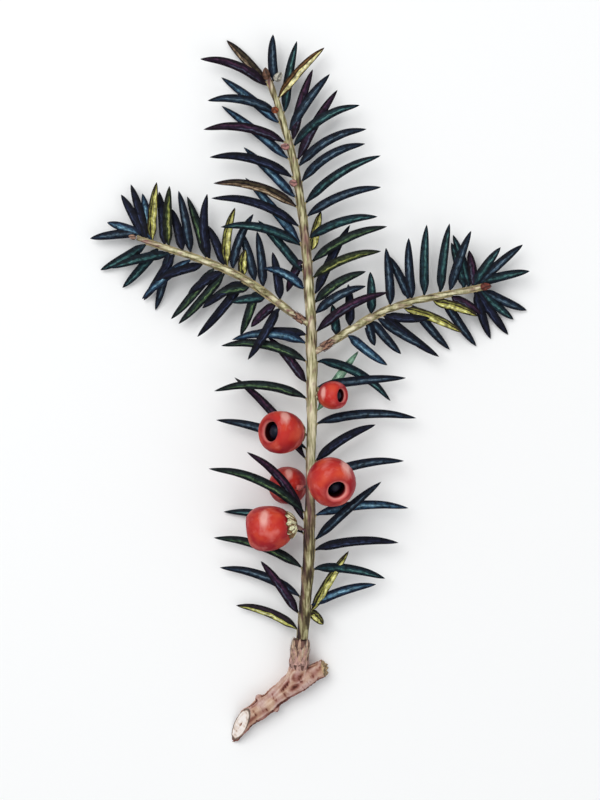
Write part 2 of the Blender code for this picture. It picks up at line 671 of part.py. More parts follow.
def stalk(number, fruit, foot, facing, look, collection):
    """A stalk of overlapping scales from the stem's skin to the foot of a cup."""
    axis, ahead, radius = station("main_stem", fruit["root"] * MM)
    along = (foot - axis).normalized()
    start = axis + along * (radius + GAP + STALK_RADII[0] * MM * abs(along.dot(ahead)))
    end = foot - facing * (GAP + STALK_RADII[-1] * MM * math.sin(along.angle(facing)))
    along = (end - start).normalized()
    length = (end - start).length
    profile = [(0.0, length)]
    for tier in reversed(range(len(STALK_RADII))):
        profile.append((STALK_RADII[tier] * MM, length * (tier + 0.95) / len(STALK_RADII)))
        profile.append((STALK_RADII[tier] * MM * 0.75, length * (tier + 0.1) / len(STALK_RADII)))
    profile.append((0.0, 0.0))
    finish(turned(f"fruit_stalk_{number}", profile, start, along, collection, steps=12), look, collection)


def buds(look, collection):
    for name, bud in BUDS.items():
        wide, high = bud["radius"] * MM, bud["length"] * MM
        profile = [(radius * wide, height * high) for radius, height in BUD_PROFILE]
        obj = turned(name, profile, Vector(bud["foot"]) * MM, bud["facing"], collection, steps=10)
        finish(obj, look, collection)


def main():
    clear_scene()
    sprig = spare_collection("english_yew_sprig")
    cutters = spare_collection("cutters")
    bark = material("old_bark", (0.36, 0.22, 0.16), 0.85)
    green_stem = material("ridged_stem", (0.62, 0.55, 0.3), 0.6)
    scale = material("brown_scale", (0.3, 0.15, 0.1), 0.7)
    cup = material("red_cup", (0.75, 0.06, 0.03), 0.3)
    seed = material("dark_seed", (0.04, 0.035, 0.04), 0.4)
    needle = material("dark_needle", (0.03, 0.08, 0.06), 0.35)
    draw = random.Random(7)
    old_wood(bark, sprig, cutters)
    scale_collar(scale, sprig)
    stems(green_stem, sprig)
    joint_rings(scale, sprig)
    fruits({"cup": cup, "seed": seed, "scale": scale}, sprig)
    buds(scale, sprig)
    placed = [(name, np.array(ridge_line(ranks))) for name, ranks in RANKS.items()]
    for name, ranks in RANKS.items():
        needle_mass(name, ranks, needle, sprig, placed, draw)
    bpy.data.collections.remove(cutters)


ROUTES = {name: smooth_route(route, ROUTE_POINTS) for name, route in STEMS.items()}
FRUIT_SPACES = [(np.array(fruit["centre"]) * MM, fruit["radius"] * MM) for fruit in FRUITS.values()]
main()
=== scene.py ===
# A cut fruiting sprig of yew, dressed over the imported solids: fine needles in joined pieces by tint, ridged stems,
# papery scales, fleshy red cups with dark seeds, and a foot of old wood. Metres, +Y to the tip, +Z to the viewer.
import math
import random

import bmesh
import bpy
import numpy as np
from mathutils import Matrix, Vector


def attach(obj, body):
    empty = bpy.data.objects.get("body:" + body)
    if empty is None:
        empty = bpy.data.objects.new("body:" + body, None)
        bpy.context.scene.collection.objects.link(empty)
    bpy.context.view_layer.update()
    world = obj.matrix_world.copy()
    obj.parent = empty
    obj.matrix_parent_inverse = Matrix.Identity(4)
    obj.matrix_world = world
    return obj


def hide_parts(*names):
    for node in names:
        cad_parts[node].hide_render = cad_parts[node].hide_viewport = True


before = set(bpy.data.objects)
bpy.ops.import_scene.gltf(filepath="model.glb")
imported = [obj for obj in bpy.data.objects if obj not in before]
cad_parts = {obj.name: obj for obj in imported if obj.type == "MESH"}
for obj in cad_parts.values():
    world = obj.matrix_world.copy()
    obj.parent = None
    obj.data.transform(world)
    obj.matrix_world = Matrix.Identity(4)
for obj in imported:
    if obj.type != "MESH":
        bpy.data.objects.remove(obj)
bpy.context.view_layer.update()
print("frame loaded:", len(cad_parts), "nodes")

mm = 0.001
up = np.array([0.0, 0.0, 1.0])
bumpDepth = 0.12 * mm   # of the fine relief that the materials give


# Unit vectors: each vector divided by its length.
def unit(vectors):
    return vectors / np.maximum(np.linalg.norm(vectors, axis=-1, keepdims=True), 1e-12)


# 0 before the low end, 1 after the high end, and a smooth cubic between them.
def eased(values, low, high):
    share = np.clip((values - low) / (high - low), 0, 1)
    return share * share * (3 - 2 * share)


# Smooth random hills of about -1 to 1: the mean of sine waves that run in seeded directions.
def hills(points, grain, seed, waves=8):
    draw = np.random.default_rng(seed)
    directions = unit(draw.normal(size=(waves, 3)))
    lengths = draw.uniform(0.6, 1.7, waves) * grain
    phases = draw.uniform(0, math.tau, waves)
    return np.sin(points @ (directions / lengths[:, None] * math.tau).T + phases).mean(-1) * 2.2


# Even turns round a circle.
def turnsRound(columns):
    return np.linspace(0, math.tau, columns, endpoint=False)


# How far each point of a line lies along it.
def walkedAlong(line):
    return np.concatenate([[0], np.cumsum(np.linalg.norm(np.diff(line, axis=0), axis=1))])


# A Catmull-Rom curve through a few rows of numbers, read again at even steps of the length that the first columns
# give.
def smoothRoute(rows, count, lengthColumns=3, between=24):
    rows = np.array(rows, dtype=float)
    padded = np.vstack([2 * rows[0] - rows[1], rows, 2 * rows[-1] - rows[-2]])
    share = np.linspace(0, 1, between, endpoint=False)[:, None]
    parts = []
    for a, b, c, d in zip(padded, padded[1:], padded[2:], padded[3:]):
        parts.append(0.5 * (2 * b + (c - a) * share + (2 * a - 5 * b + 4 * c - d) * share ** 2
                            + (3 * b - a - 3 * c + d) * share ** 3))
    fine = np.vstack(parts + [rows[-1:]])
    walked = walkedAlong(fine[:, :lengthColumns])
    even = np.linspace(0, walked[-1], count)
    return np.column_stack([np.interp(even, walked, column) for column in fine.T])


# Quads between neighbours of a grid, for a number of equal grids one after another. The last column joins the first.
def gridQuads(count, rows, columns):
    row, column = np.meshgrid(np.arange(rows - 1), np.arange(columns), indexing="ij")
    beside = (column + 1) % columns
    corners = [row * columns + column, row * columns + beside,
               (row + 1) * columns + beside, (row + 1) * columns + column]
    quads = np.stack(corners, -1).reshape(-1, 4)
    share = [row / (rows - 1), row / (rows - 1), (row + 1) / (rows - 1), (row + 1) / (rows - 1)]
    around = [column / columns, (column + 1) / columns, (column + 1) / columns, column / columns]
    uv = np.stack([np.stack(share, -1), np.stack(around, -1)], -1).reshape(-1, 2)
    starts = np.arange(count)[:, None, None] * rows * columns
    return (quads[None] + starts).reshape(-1, 4), np.tile(uv, (count, 1))


# Grids of points (grid, row, column), closed by one more row at each end that is drawn together to a point.
def capped(grids):
    foot, tip = (np.repeat(row.mean(2, keepdims=True), grids.shape[2], 2) for row in (grids[:, :1], grids[:, -1:]))
    return np.concatenate([foot, grids, tip], 1)


# A number for each point, kept on the mesh as an attribute that its material reads.
def keepTone(mesh, name, values):
    mesh.attributes.new(name, "FLOAT", "POINT").data.foreach_set("value", values.astype(np.float32).ravel())


# A piece from grids of points, each closed at its ends. The values in tones are kept as point attributes.
def gridPiece(name, grids, look, nodes, tones=None, sharp=40):
    closed = capped(grids)
    quads, uv = gridQuads(*closed.shape[:3])
    mesh = bpy.data.meshes.new(name)
    mesh.vertices.add(closed[..., 0].size)
    mesh.vertices.foreach_set("co", closed.astype(np.float32).ravel())
    mesh.loops.add(quads.size)
    mesh.loops.foreach_set("vertex_index", quads.astype(np.int32).ravel())
    mesh.polygons.add(len(quads))
    mesh.polygons.foreach_set("loop_start", np.arange(0, quads.size, 4, dtype=np.int32))
    mesh.update(calc_edges=True)
    mesh.uv_layers.new(name="shape").data.foreach_set("uv", uv.astype(np.float32).ravel())
    for toneName, values in (tones or {}).items():
        keepTone(mesh, toneName, np.concatenate([values[:, :1], values, values[:, -1:]], 1))
    closeSeams(mesh)
    return dressed(bpy.data.objects.new(name, mesh), look, nodes, sharp)


# Points that fall together are merged, and the faces are turned outwards.
def closeSeams(mesh, distance=1e-7):
    build = bmesh.new()
    build.from_mesh(mesh)
    bmesh.ops.remove_doubles(build, verts=build.verts, dist=distance)
    bmesh.ops.dissolve_degenerate(build, edges=build.edges, dist=distance)
    bmesh.ops.recalc_face_normals(build, faces=build.faces)
    build.to_mesh(mesh)
    build.free()


# A finished piece: linked, smooth, dressed in its material, riding on the sprig and standing for its solids.
def dressed(piece, look, nodes, sharp=40):
    bpy.context.scene.collection.objects.link(piece)
    piece.data.materials.clear()
    piece.data.materials.append(look)
    piece.data.shade_smooth()
    piece.data.set_sharp_from_angle(angle=math.radians(sharp))
    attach(piece, "root")
    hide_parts(*nodes)
    return piece


# Directions beside and out of a line of points: side is level and square to the line, face is square to both.
def lineFrame(line, roll=0.0):
    ahead = unit(np.gradient(line, axis=-2))
    side = unit(np.cross(np.broadcast_to(up, ahead.shape), ahead))
    face = np.cross(ahead, side)
    cosine, sine = np.cos(roll), np.sin(roll)
    return side * cosine + face * sine, face * cosine - side * sine


# Points off a line: the line's point plus its side times one distance plus its face times another.
def offLine(line, side, face, across, height):
    return line[..., None, :] + side[..., None, :] * across[..., None] + face[..., None, :] * height[..., None]


# A round limb: each point is the line plus its side times r cos v plus its face times r sin v, where r is the limb's
# radius there times one plus the relief.
def limbGrid(route, columns, relief=0.0):
    side, face = lineFrame(route[:, :3])
    angle = turnsRound(columns)
    radius = np.broadcast_to(route[:, 3:4] * (1 + relief), (len(route), columns))
    return offLine(route[:, :3], side, face, radius * np.cos(angle), radius * np.sin(angle))


# A turned form: each point is the foot plus the axis times the profile's height plus a turning arm times its radius,
# which swells and dents by the relief.
def turnedGrid(foot, facing, profile, columns, relief=0.0):
    axis, armX, armY = axes(facing)
    angle = turnsRound(columns)
    radius = np.broadcast_to(profile[:, :1] * (1 + relief), (len(profile), columns))
    arms = armX * np.cos(angle)[:, None] + armY * np.sin(angle)[:, None]
    return foot + axis * profile[:, 1][:, None, None] + arms[None] * radius[..., None]


# A unit axis and two arms square to it.
def axes(facing):
    turn = Vector(facing).to_track_quat("Z", "Y")
    return [np.array(turn @ Vector(arm)) for arm in ((0, 0, 1), (1, 0, 0), (0, 1, 0))]


# A material's noise texture in Object coordinates.
def noiseNode(tree, grain, detail=3.0, stretch=(1, 1, 1)):
    place = tree.nodes.new("ShaderNodeTexCoord")
    mapping = tree.nodes.new("ShaderNodeMapping")
    mapping.inputs["Scale"].default_value = stretch
    noise = tree.nodes.new("ShaderNodeTexNoise")
    noise.inputs["Scale"].default_value = 1 / grain
    noise.inputs["Detail"].default_value = detail
    tree.links.new(place.outputs["Object"], mapping.inputs["Vector"])
    tree.links.new(mapping.outputs["Vector"], noise.inputs["Vector"])
    return noise.outputs["Fac"]


# A colour ramp over a value: stops are (place, colour).
def rampNode(tree, value, stops):
    ramp = tree.nodes.new("ShaderNodeValToRGB")
    points = ramp.color_ramp.elements
    while len(points) < len(stops):
        points.new(0.5)
    for point, (place, colour) in zip(points, stops):
        point.position = place
        point.color = (*colour, 1)
    tree.links.new(value, ramp.inputs["Fac"])
    return ramp.outputs["Color"]


# A share that rises evenly from 0 at one value to its most at another.
def shareNode(tree, value, low, high, most=1.0):
    return rampNode(tree, value, [(low, (0, 0, 0)), (high, (most, most, most))])


# One of a surface's own point attributes.
def attributeNode(tree, name):
    node = tree.nodes.new("ShaderNodeAttribute")
    node.attribute_name = name
    return node.outputs["Fac"]


# a plus b times a share, as a value.
def addNode(tree, a, b, share):
    node = tree.nodes.new("ShaderNodeMath")
    node.operation = "MULTIPLY_ADD"
    node.inputs[1].default_value = share
    tree.links.new(b, node.inputs[0])
    tree.links.new(a, node.inputs[2])
    return node.outputs["Value"]


# Two colours mixed by a value.
def mixNode(tree, value, first, second):
    node = tree.nodes.new("ShaderNodeMix")
    node.data_type = "RGBA"
    tree.links.new(value, node.inputs["Factor"])
    for socket, colour in ((node.inputs["A"], first), (node.inputs["B"], second)):
        if isinstance(colour, tuple):
            socket.default_value = (*colour, 1)
        else:
            tree.links.new(colour, socket)
    return node.outputs["Result"]


# A new Principled material with its roughness, gloss and bump; the colour is linked by the caller.
def newMaterial(name, roughness, bumpGrain, bump, coat=0.0, coatRoughness=0.2, specular=0.5, stretch=(1, 1, 1)):
    look = bpy.data.materials.new(name)
    look.use_nodes = True
    tree = look.node_tree
    shader = tree.nodes["Principled BSDF"]
    shader.inputs["Roughness"].default_value = roughness
    shader.inputs["Coat Weight"].default_value = coat
    shader.inputs["Coat Roughness"].default_value = coatRoughness
    shader.inputs["Specular IOR Level"].default_value = specular
    relief = tree.nodes.new("ShaderNodeBump")
    relief.inputs["Strength"].default_value = bump
    relief.inputs["Distance"].default_value = bumpDepth
    tree.links.new(noiseNode(tree, bumpGrain, 4.0, stretch), relief.inputs["Height"])
    tree.links.new(relief.outputs["Normal"], shader.inputs["Normal"])
    return look, tree, shader


# A plain colour that a soft noise makes a little lighter and darker.
def mottledLook(name, colour, roughness, grain=1.6 * mm, spread=0.3, bumpGrain=0.35 * mm, bump=0.25, **more):
    look, tree, shader = newMaterial(name, roughness, bumpGrain, bump, **more)
    dark = tuple(channel * (1 - spread) for channel in colour)
    light = tuple(min(1.0, channel * (1 + spread)) for channel in colour)
    mottle = rampNode(tree, noiseNode(tree, grain), [(0.32, dark), (0.68, light)])
    tree.links.new(mottle, shader.inputs["Base Color"])
    return look


# Stems in millimetres. rows are the solids' routes: x, y, z and radius. foot and tip carry the skin on into the main
# stem and the tip's bud. axis is the one that places on the stem are read from. slim is how thick the skin is drawn.
# leftShade is how strongly painted shade darkens the left edge purple-brown, and blushes are where the skin itself
# turns purple-brown: a blush has a place, a reach and a strength.
stems = {
    "main_stem": dict(
        rows=((-1.7, -60.0, 5.0, 1.35), (-0.3, -41.0, 8.2, 1.38), (0.3, -17.0, 9.2, 1.1), (0.5, 7.0, 8.4, 1.28),
              (-0.7, 31.0, 6.8, 1.05), (-2.9, 49.0, 5.6, 0.92), (-6.0, 62.2, 4.8, 0.75), (-9.6, 73.2, 4.4, 0.6)),
        foot=(), tip=((-10.3, 74.6, 4.5, 0.5),), axis=1, slim=0.96, seed=21, leftShade=1.0,
        blushes=((73.4, 2.0, 1.0), (34.5, 3.5, 0.75), (27.5, 1.6, 1.0), (-29.5, 5.0, 0.7), (12.0, 4.0, 0.35))),
    "left_side_stem": dict(
        rows=((-1.6, 15.8, 8.1, 0.85), (-18.7, 27.4, 6.4, 0.8), (-41.3, 35.6, 4.6, 0.55)),
        foot=((0.2, 14.6, 8.0, 0.8),), tip=(), axis=0, slim=0.82, seed=22, leftShade=0.5,
        blushes=((-3.5, 2.0, 0.8), (-39.0, 3.0, 0.7))),
    "right_side_stem": dict(
        rows=((2.6, 9.1, 8.3, 0.9), (19.2, 18.7, 6.8, 0.8), (40.8, 23.8, 5.0, 0.6)),
        foot=((0.7, 8.0, 8.2, 0.85),), tip=(), axis=0, slim=0.84, seed=23, leftShade=0.5,
        blushes=((4.0, 2.5, 0.8), (41.0, 3.0, 0.9))),
}
routes = {name: smoothRoute(np.array(row["rows"]) * mm, 80) for name, row in stems.items()}
ridge = dict(offset=0.75 * mm, drop=math.radians(-20))   # from a stem's skin to the needles' roots, and under its side


# A rank of needles in millimetres and degrees: turn in plan, slopes at root and tip, and for each needle its place on
# the stem, heading, length from root to tip and a letter for its tint, from needleTints. bows lifts the middles of
# needles that cross over their neighbours.
def rank(turn, lift, level, places, headings, lengths, tints, bows=None):
    return turn, lift, level, list(zip(places, headings, lengths, tints, bows or (0,) * len(places)))


# The masses of needles: the stem that each grows from, on which side, and its ranks.
masses = {
    "leader_left_high": dict(stem="main_stem", side=1, ranks=(
        rank(45, 8, 0, (73, 66.4, 59.3, 50.8), (157, 169, 170, 165), (17, 16.5, 19.5, 20.2), "pspk"),
        rank(8, -8, -18, (73.9, 64, 55.3), (131, 140, 140), (14, 18, 20.8), "wbb"))),
    "leader_left_low": dict(stem="main_stem", side=1, ranks=(
        rank(45, 12, 4, (43.6, 38.9, 34.3, 24), (163, 161, 166, 152), (20.6, 22, 19.6, 10.4), "wktb"),
        rank(8, -8, -14, (46, 35, 28.2, 30), (134, 129, 130, 246), (18, 20.6, 16, 8), "bbtp"))),
    "leader_right_high": dict(stem="main_stem", side=-1, ranks=(
        rank(-14, 4, -4, (73.6, 69.4, 66, 61.6, 59.4, 54.6), (92, 48, 81, 55, 75, 61),
             (10.5, 15.7, 16.8, 16, 17, 18.7), "sctspp", bows=(0, 1.3, -0.3, 0.4, 0, 0)),
        rank(-48, 10, 0, (57.8, 53, 49.4), (33, 30, 32), (18.5, 18.4, 17.5), "tss"))),
    "leader_right_low": dict(stem="main_stem", side=-1, ranks=(
        rank(-36, 12, 4, (44.2, 41, 35.8, 30.2, 26.4, 20.6, 18, 13.6), (33, 22, 18, 26, 22, 32, 29, 30),
             (21, 18.8, 16.7, 19.5, 17, 13.8, 13.2, 19.1), "tstgogsp"),
        rank(-10, -6, -12, (33.2, 22.6), (78, 64), (9.2, 18.3), "yk"))),
    "stem_left_top": dict(stem="main_stem", side=1, ranks=(
        rank(46, -4, -6, (10.8, 6.5, -2.4), (176, 168, 174), (17.6, 20.7, 22.2), "bgg"),
        rank(16, -14, -16, (12.8, 1.7), (179, 129), (13.5, 14), "kp"))),
    "stem_left_above_fruit": dict(stem="main_stem", side=1, ranks=(
        rank(24, -18, -4, (-14.2, -16.6), (162, 130), (22.7, 26), "sp"),)),
    "stem_left_below_fruit": dict(stem="main_stem", side=1, ranks=(
        rank(46, 14, 2, (-29.4, -31.2), (153, 127), (25.4, 21.4), "gp", bows=(1.6, -0.5)),)),
    "stem_left_low": dict(stem="main_stem", side=1, ranks=(
        rank(34, -14, -8, (-34.4, -42.7, -49.7, -57.6), (165, 161, 160, 159), (21, 22.5, 20.4, 15.5), "tgsd"),
        rank(10, 8, 0, (-53.6,), (125,), (14.7,), "p"))),
    "stem_right_top": dict(stem="main_stem", side=-1, ranks=(
        rank(-46, -16, -4, (6.2,), (-27,), (20.4,), "t"),
        rank(-10, -16, -8, (0.2, -5), (6, 56), (21.2, 17), "sf"))),
    "stem_right_mid": dict(stem="main_stem", side=-1, ranks=(
        rank(-30, -10, -4, (-8.4, -17, -21.8, -30.2), (4, 32, 13, 5), (23.8, 16.2, 21.5, 22.2), "sksb"),)),
    "stem_right_low": dict(stem="main_stem", side=-1, ranks=(
        rank(-26, -8, -8, (-38.4, -43, -51.6), (5, -8, 18), (19.8, 17, 15.9), "ktb"),
        rank(-8, 4, 0, (-35.8, -52.8, -54), (42, 59, -45), (20.4, 16.3, 3.6), "syy"))),
    "left_upper_outer": dict(stem="left_side_stem", side=-1, ranks=(
        rank(8, -4, -12, (-41.9, -41.6, -40.4, -39.7, -38.6, -35.2, -31, -29),
             (186, 160, 118, 106, 100, 96, 104, 101), (11.5, 8, 11.3, 13.2, 11, 12.5, 9.7, 14.8), "sbkkbkks"),
        rank(-12, 14, 2, (-38.2, -34.2), (85, 89), (13.4, 13.7), "yo"))),
    "left_upper_inner": dict(stem="left_side_stem", side=-1, ranks=(
        rank(10, -8, -8, (-25.4, -21.2, -14, -12, -8), (107, 113, 106, 96, 99), (15.8, 9.8, 12.5, 12.9, 10.8),
             "gkssk"),
        rank(-30, 0, -4, (-24.6, -20.4, -19, -16.6), (93, 83, 70, 85), (15.2, 13.7, 13.6, 5.4), "kysy"))),
    "left_lower_outer": dict(stem="left_side_stem", side=1, ranks=(
        rank(-8, -12, -22, (-39.4, -36.4, -33.4, -32.4), (208, 227, 256, 236), (12.5, 12.7, 14.3, 13.3), "ttsk"),
        rank(16, 10, 0, (-33.8, -28.6, -25.8), (194, 219, 199), (13.7, 14.4, 11.2), "tbk"))),
    "left_lower_inner": dict(stem="left_side_stem", side=1, ranks=(
        rank(-8, -6, -10, (-22.8, -20.2, -15.6, -12.2, -6.8), (230, 228, 230, 251, 240), (15.4, 16, 16.5, 10.7, 14),
             "ggkgk"),
        rank(14, 6, -2, (-21, -16.2, -14.4, -10.6, -8), (213, 214, 191, 187, 224), (9, 10.6, 7.6, 7.4, 7.2), "kkgtp"))),
    "right_upper_inner": dict(stem="right_side_stem", side=1, ranks=(
        rank(8, -12, -8, (7.2, 10.4, 15.4, 19.8), (98, 92, 91, 94), (6.8, 9.4, 9.4, 13.4), "tkts"),)),
    "right_upper_outer": dict(stem="right_side_stem", side=1, ranks=(
        rank(-10, 4, 0, (24.8, 27.8, 31.6, 34, 39.8, 41.2, 41.8), (94, 89, 83, 71, 55, 42, 13),
             (13.8, 16.3, 16, 14.5, 10.6, 13.5, 11.4), "sttstst"),
        rank(8, -12, -18, (24, 37.2, 38.4, 39.6), (114, 105, 106, 97), (11.9, 11.2, 13.2, 8.4), "sttp"))),
    "right_lower_inner": dict(stem="right_side_stem", side=-1, ranks=(
        rank(10, -4, -8, (9, 13.4, 14.6, 16.2, 17.6), (-38, -74, -49, -31, -37), (11.1, 5, 9.9, 14.4, 16), "bsssk"),
        rank(14, 8, -2, (18.2,), (-4,), (10,), "k"))),
    "right_lower_outer": dict(stem="right_side_stem", side=-1, ranks=(
        rank(10, -12, -26, (24.6, 32, 39.6, 40.4, 41.2, 41.8), (-49, -54, -71, -54, -40, -23),
             (14.2, 14.3, 12, 13, 10.6, 11.8), "sskkts"),
        rank(-20, 16, 3, (22.8, 30, 34.4), (-22, -18, -30), (14.4, 10.6, 7.4), "yyp"))),
}
jitter = dict(lift=2.5, roll=0.22, seed=7)
fitting = dict(lifts=(0, -6, 6, -12, 12, -18, 18, -25, 25, -32), farthest=1.2 * mm)   # tries, and a tip's greatest miss
foothold = dict(sunk=0.12 * mm, back=0.7 * mm, floor=0.22 * mm)   # of a needle's foot in the skin; the lowest line

# Tints of the needles: the blade's colour, then the bands that run along it. The light streaks along the dark needles
# are painted sheen. On the yellow, brown, half and cream needles the bands are partly their own pale undersides and
# partly painted sheen. A band lies between two shares of the half width, from one share of the length to another, and
# has a colour. Its low side is the needle's lower edge, whichever way the needle points.
needleTints = {
    "s": dict(name="slate", blade=(0.004, 0.006, 0.013), bands=(
        (-0.62, 0.40, 0.04, 0.96, (0.010, 0.020, 0.036)), (-0.44, 0.10, 0.10, 0.86, (0.040, 0.070, 0.100)),
        (-0.22, -0.02, 0.28, 0.80, (0.11, 0.16, 0.20)))),
    "k": dict(name="ink", blade=(0.0035, 0.004, 0.009), bands=(
        (-0.60, 0.30, 0.05, 0.94, (0.007, 0.009, 0.024)), (-0.50, -0.20, 0.16, 0.72, (0.026, 0.036, 0.075)))),
    "t": dict(name="teal", blade=(0.004, 0.008, 0.013), bands=(
        (-0.64, 0.44, 0.04, 0.96, (0.008, 0.026, 0.034)), (-0.48, 0.06, 0.12, 0.92, (0.030, 0.085, 0.085)),
        (-0.28, -0.08, 0.40, 0.88, (0.09, 0.20, 0.19)))),
    "b": dict(name="blue", blade=(0.006, 0.011, 0.025), bands=(
        (-0.70, 0.56, 0.03, 0.96, (0.020, 0.050, 0.090)), (-0.50, 0.24, 0.10, 0.88, (0.070, 0.15, 0.22)),
        (-0.30, 0.02, 0.26, 0.80, (0.18, 0.32, 0.40)))),
    "p": dict(name="purple", blade=(0.008, 0.003, 0.008), bands=(
        (-0.60, 0.54, 0.04, 0.95, (0.018, 0.008, 0.022)), (0.02, 0.44, 0.30, 0.92, (0.045, 0.014, 0.036)),
        (-0.50, -0.18, 0.08, 0.66, (0.050, 0.055, 0.085)))),
    "g": dict(name="green", blade=(0.005, 0.007, 0.009), bands=(
        (-0.64, 0.40, 0.04, 0.96, (0.012, 0.024, 0.020)), (-0.56, -0.06, 0.12, 0.88, (0.045, 0.085, 0.040)),
        (-0.40, -0.20, 0.20, 0.56, (0.14, 0.22, 0.09)))),
    "o": dict(name="olive", blade=(0.010, 0.012, 0.008), bands=(
        (-0.66, 0.46, 0.04, 0.96, (0.032, 0.044, 0.016)), (-0.56, -0.02, 0.10, 0.84, (0.17, 0.19, 0.045)),
        (-0.40, -0.20, 0.18, 0.60, (0.36, 0.36, 0.13)))),
    "y": dict(name="yellow", blade=(0.022, 0.016, 0.008), bands=(
        (-0.84, 0.16, 0.03, 0.95, (0.36, 0.34, 0.085)), (-0.62, -0.16, 0.10, 0.88, (0.62, 0.58, 0.25)),
        (0.34, 0.66, 0.10, 0.86, (0.15, 0.15, 0.035)))),
    "w": dict(name="brown", blade=(0.014, 0.008, 0.008), bands=(
        (-0.86, -0.10, 0.03, 0.95, (0.15, 0.10, 0.06)), (0.06, 0.58, 0.08, 0.88, (0.040, 0.030, 0.016)),
        (-0.68, -0.42, 0.16, 0.72, (0.50, 0.40, 0.27)))),
    "d": dict(name="half", blade=(0.010, 0.007, 0.009), bands=(
        (-0.88, -0.10, 0.03, 0.95, (0.38, 0.37, 0.095)), (-0.66, -0.38, 0.16, 0.84, (0.68, 0.66, 0.36)),
        (0.14, 0.60, 0.10, 0.84, (0.022, 0.012, 0.022)))),
    "c": dict(name="cream", blade=(0.040, 0.020, 0.008), bands=(
        (-0.88, -0.02, 0.02, 0.96, (0.60, 0.53, 0.24)), (0.24, 0.60, 0.12, 0.90, (0.13, 0.06, 0.02)),
        (-0.60, -0.30, 0.20, 0.84, (0.76, 0.70, 0.40)))),
    "f": dict(name="faded", blade=(0.10, 0.19, 0.13), bands=(
        (-0.60, 0.60, 0.05, 0.95, (0.20, 0.34, 0.24)), (-0.15, 0.15, 0.15, 0.85, (0.34, 0.48, 0.36)))),
}
needle = dict(width=2.3 * mm, thick=0.46 * mm, rib=0.05 * mm, ribWidth=0.16, fold=0.14, foldPower=1.4, untwist=0.4,
              footWidth=0.2, opensFrom=0.04, opensOver=0.2, tipPower=4.6, tipRound=0.8, stations=36, columns=14,
              finish=dict(roughness=0.6, specular=0.12, grain=0.9 * mm, spread=0.7))
# The form of the needles' bands: painted sheen on the dark needles, and partly real tint on the pale ones.
tintAndSheenBands = dict(stations=24, columns=8, rise=0.03 * mm, sink=0.06 * mm, step=0.55, edge=0.93, widths=(0.75, 1.15),
             wavers=((0.07, 17, 1), (0.05, 31, 2)))    # size, waves along the band, and share of the phase


# Point, direction and radius of a stem at a place, read between the route's rows and carried straight past its ends.
def station(stem, place):
    rows = routes[stem]
    axis = stems[stem]["axis"]
    order = 1 if rows[-1, axis] > rows[0, axis] else -1
    inside = min(max(place, rows[:, axis].min() + mm), rows[:, axis].max() - mm)
    here, before, after = (np.array([np.interp(value * order, rows[:, axis] * order, column) for column in rows.T])
                           for value in (inside, inside - order * mm, inside + order * mm))
    ahead = (after - before)[:3]
    return here[:3] + ahead * ((place - inside) / ahead[axis]), unit(ahead), here[3]


# A needle's centre line: the heading turns evenly and the slope changes evenly from root to tip, and each point is
# the root plus the steps so far. It never dips below the surface that the sprig lies on.
def needleLine(root, heading, length, turn, lift, level):
    steps = needle["stations"] - 1
    share = (np.arange(steps) + 0.5) / steps
    plan = np.radians(heading + turn * (share - 0.45))
    slope = np.radians(lift + (level - lift) * share)
    step = np.stack([np.cos(plan) * np.cos(slope), np.sin(plan) * np.cos(slope), np.sin(slope)], -1)
    line = root + np.vstack([np.zeros(3), np.cumsum(step * length / steps, axis=0)])
    line[:, 2] = np.maximum(line[:, 2], foothold["floor"])
    return line


# Every needle of the sprig: the rule's own draws in their order, with the lift whose tip falls on its solid's tip.
def growNeedles():
    draw = random.Random(jitter["seed"])
    grown = []
    for node, mass in masses.items():
        corners = np.array([corner.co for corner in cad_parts[node].data.vertices])
        for turn, lift, level, needles in mass["ranks"]:
            for place, heading, length, tint, bow in needles:
                point, ahead, radius = station(mass["stem"], place * mm)
                out = unit(np.cross(up, ahead)) * mass["side"]
                lean = out * math.cos(ridge["drop"]) + up * math.sin(ridge["drop"])
                root = point + lean * (radius + ridge["offset"])
                slope = lift + draw.uniform(-jitter["lift"], jitter["lift"])
                roll = draw.uniform(-jitter["roll"], jitter["roll"])
                lines = [needleLine(root, heading, length * mm, turn, slope + more, level) for more in fitting["lifts"]]
                misses = [np.linalg.norm(corners - line[-1], axis=1).min() for line in lines]
                best = int(np.argmin(misses))
                if misses[best] > fitting["farthest"]:
                    print("a needle of", node, "has no solid", round(misses[best] / mm, 2))
                    continue
                skin = point + lean * (radius - foothold["sunk"]) - ahead * foothold["back"]
                line = footedLine(lines[best], skin)
                line[:, 2] += bow * mm * np.sin(np.linspace(0, math.pi, len(line)))
                grown.append(dict(node=node, line=line, roll=roll, tint=tint, ahead=ahead, stem=mass["stem"],
                                  place=place * mm, lean=lean, heading=heading))
    return grown


# A needle's line carried back to the stem: a smooth curve from inside the skin through points of the line.
def footedLine(line, skin):
    middle = 0.5 * (skin + line[0]) + 0.12 * (line[0] - line[3])
    route = np.vstack([skin, middle, line[1], line[3::6][:5], line[-1]])
    return smoothRoute(route, needle["stations"])


# A blade's half width along it: a narrow foot, then it opens over a fifth of its length and closes to a short point.
def bladeHalf(share):
    opened = np.sin(np.clip((share - needle["opensFrom"]) / needle["opensOver"], 0, 1) * math.pi / 2)
    foot = needle["footWidth"] + (1 - needle["footWidth"]) * opened
    return needle["width"] / 2 * foot * np.maximum(1 - share ** needle["tipPower"], 0) ** needle["tipRound"]


# How far a blade's two halves fall away at a share of its half width: that share to a power, times the half width.
def bladeFold(across, half):
    return needle["fold"] * half * np.abs(across) ** needle["foldPower"]


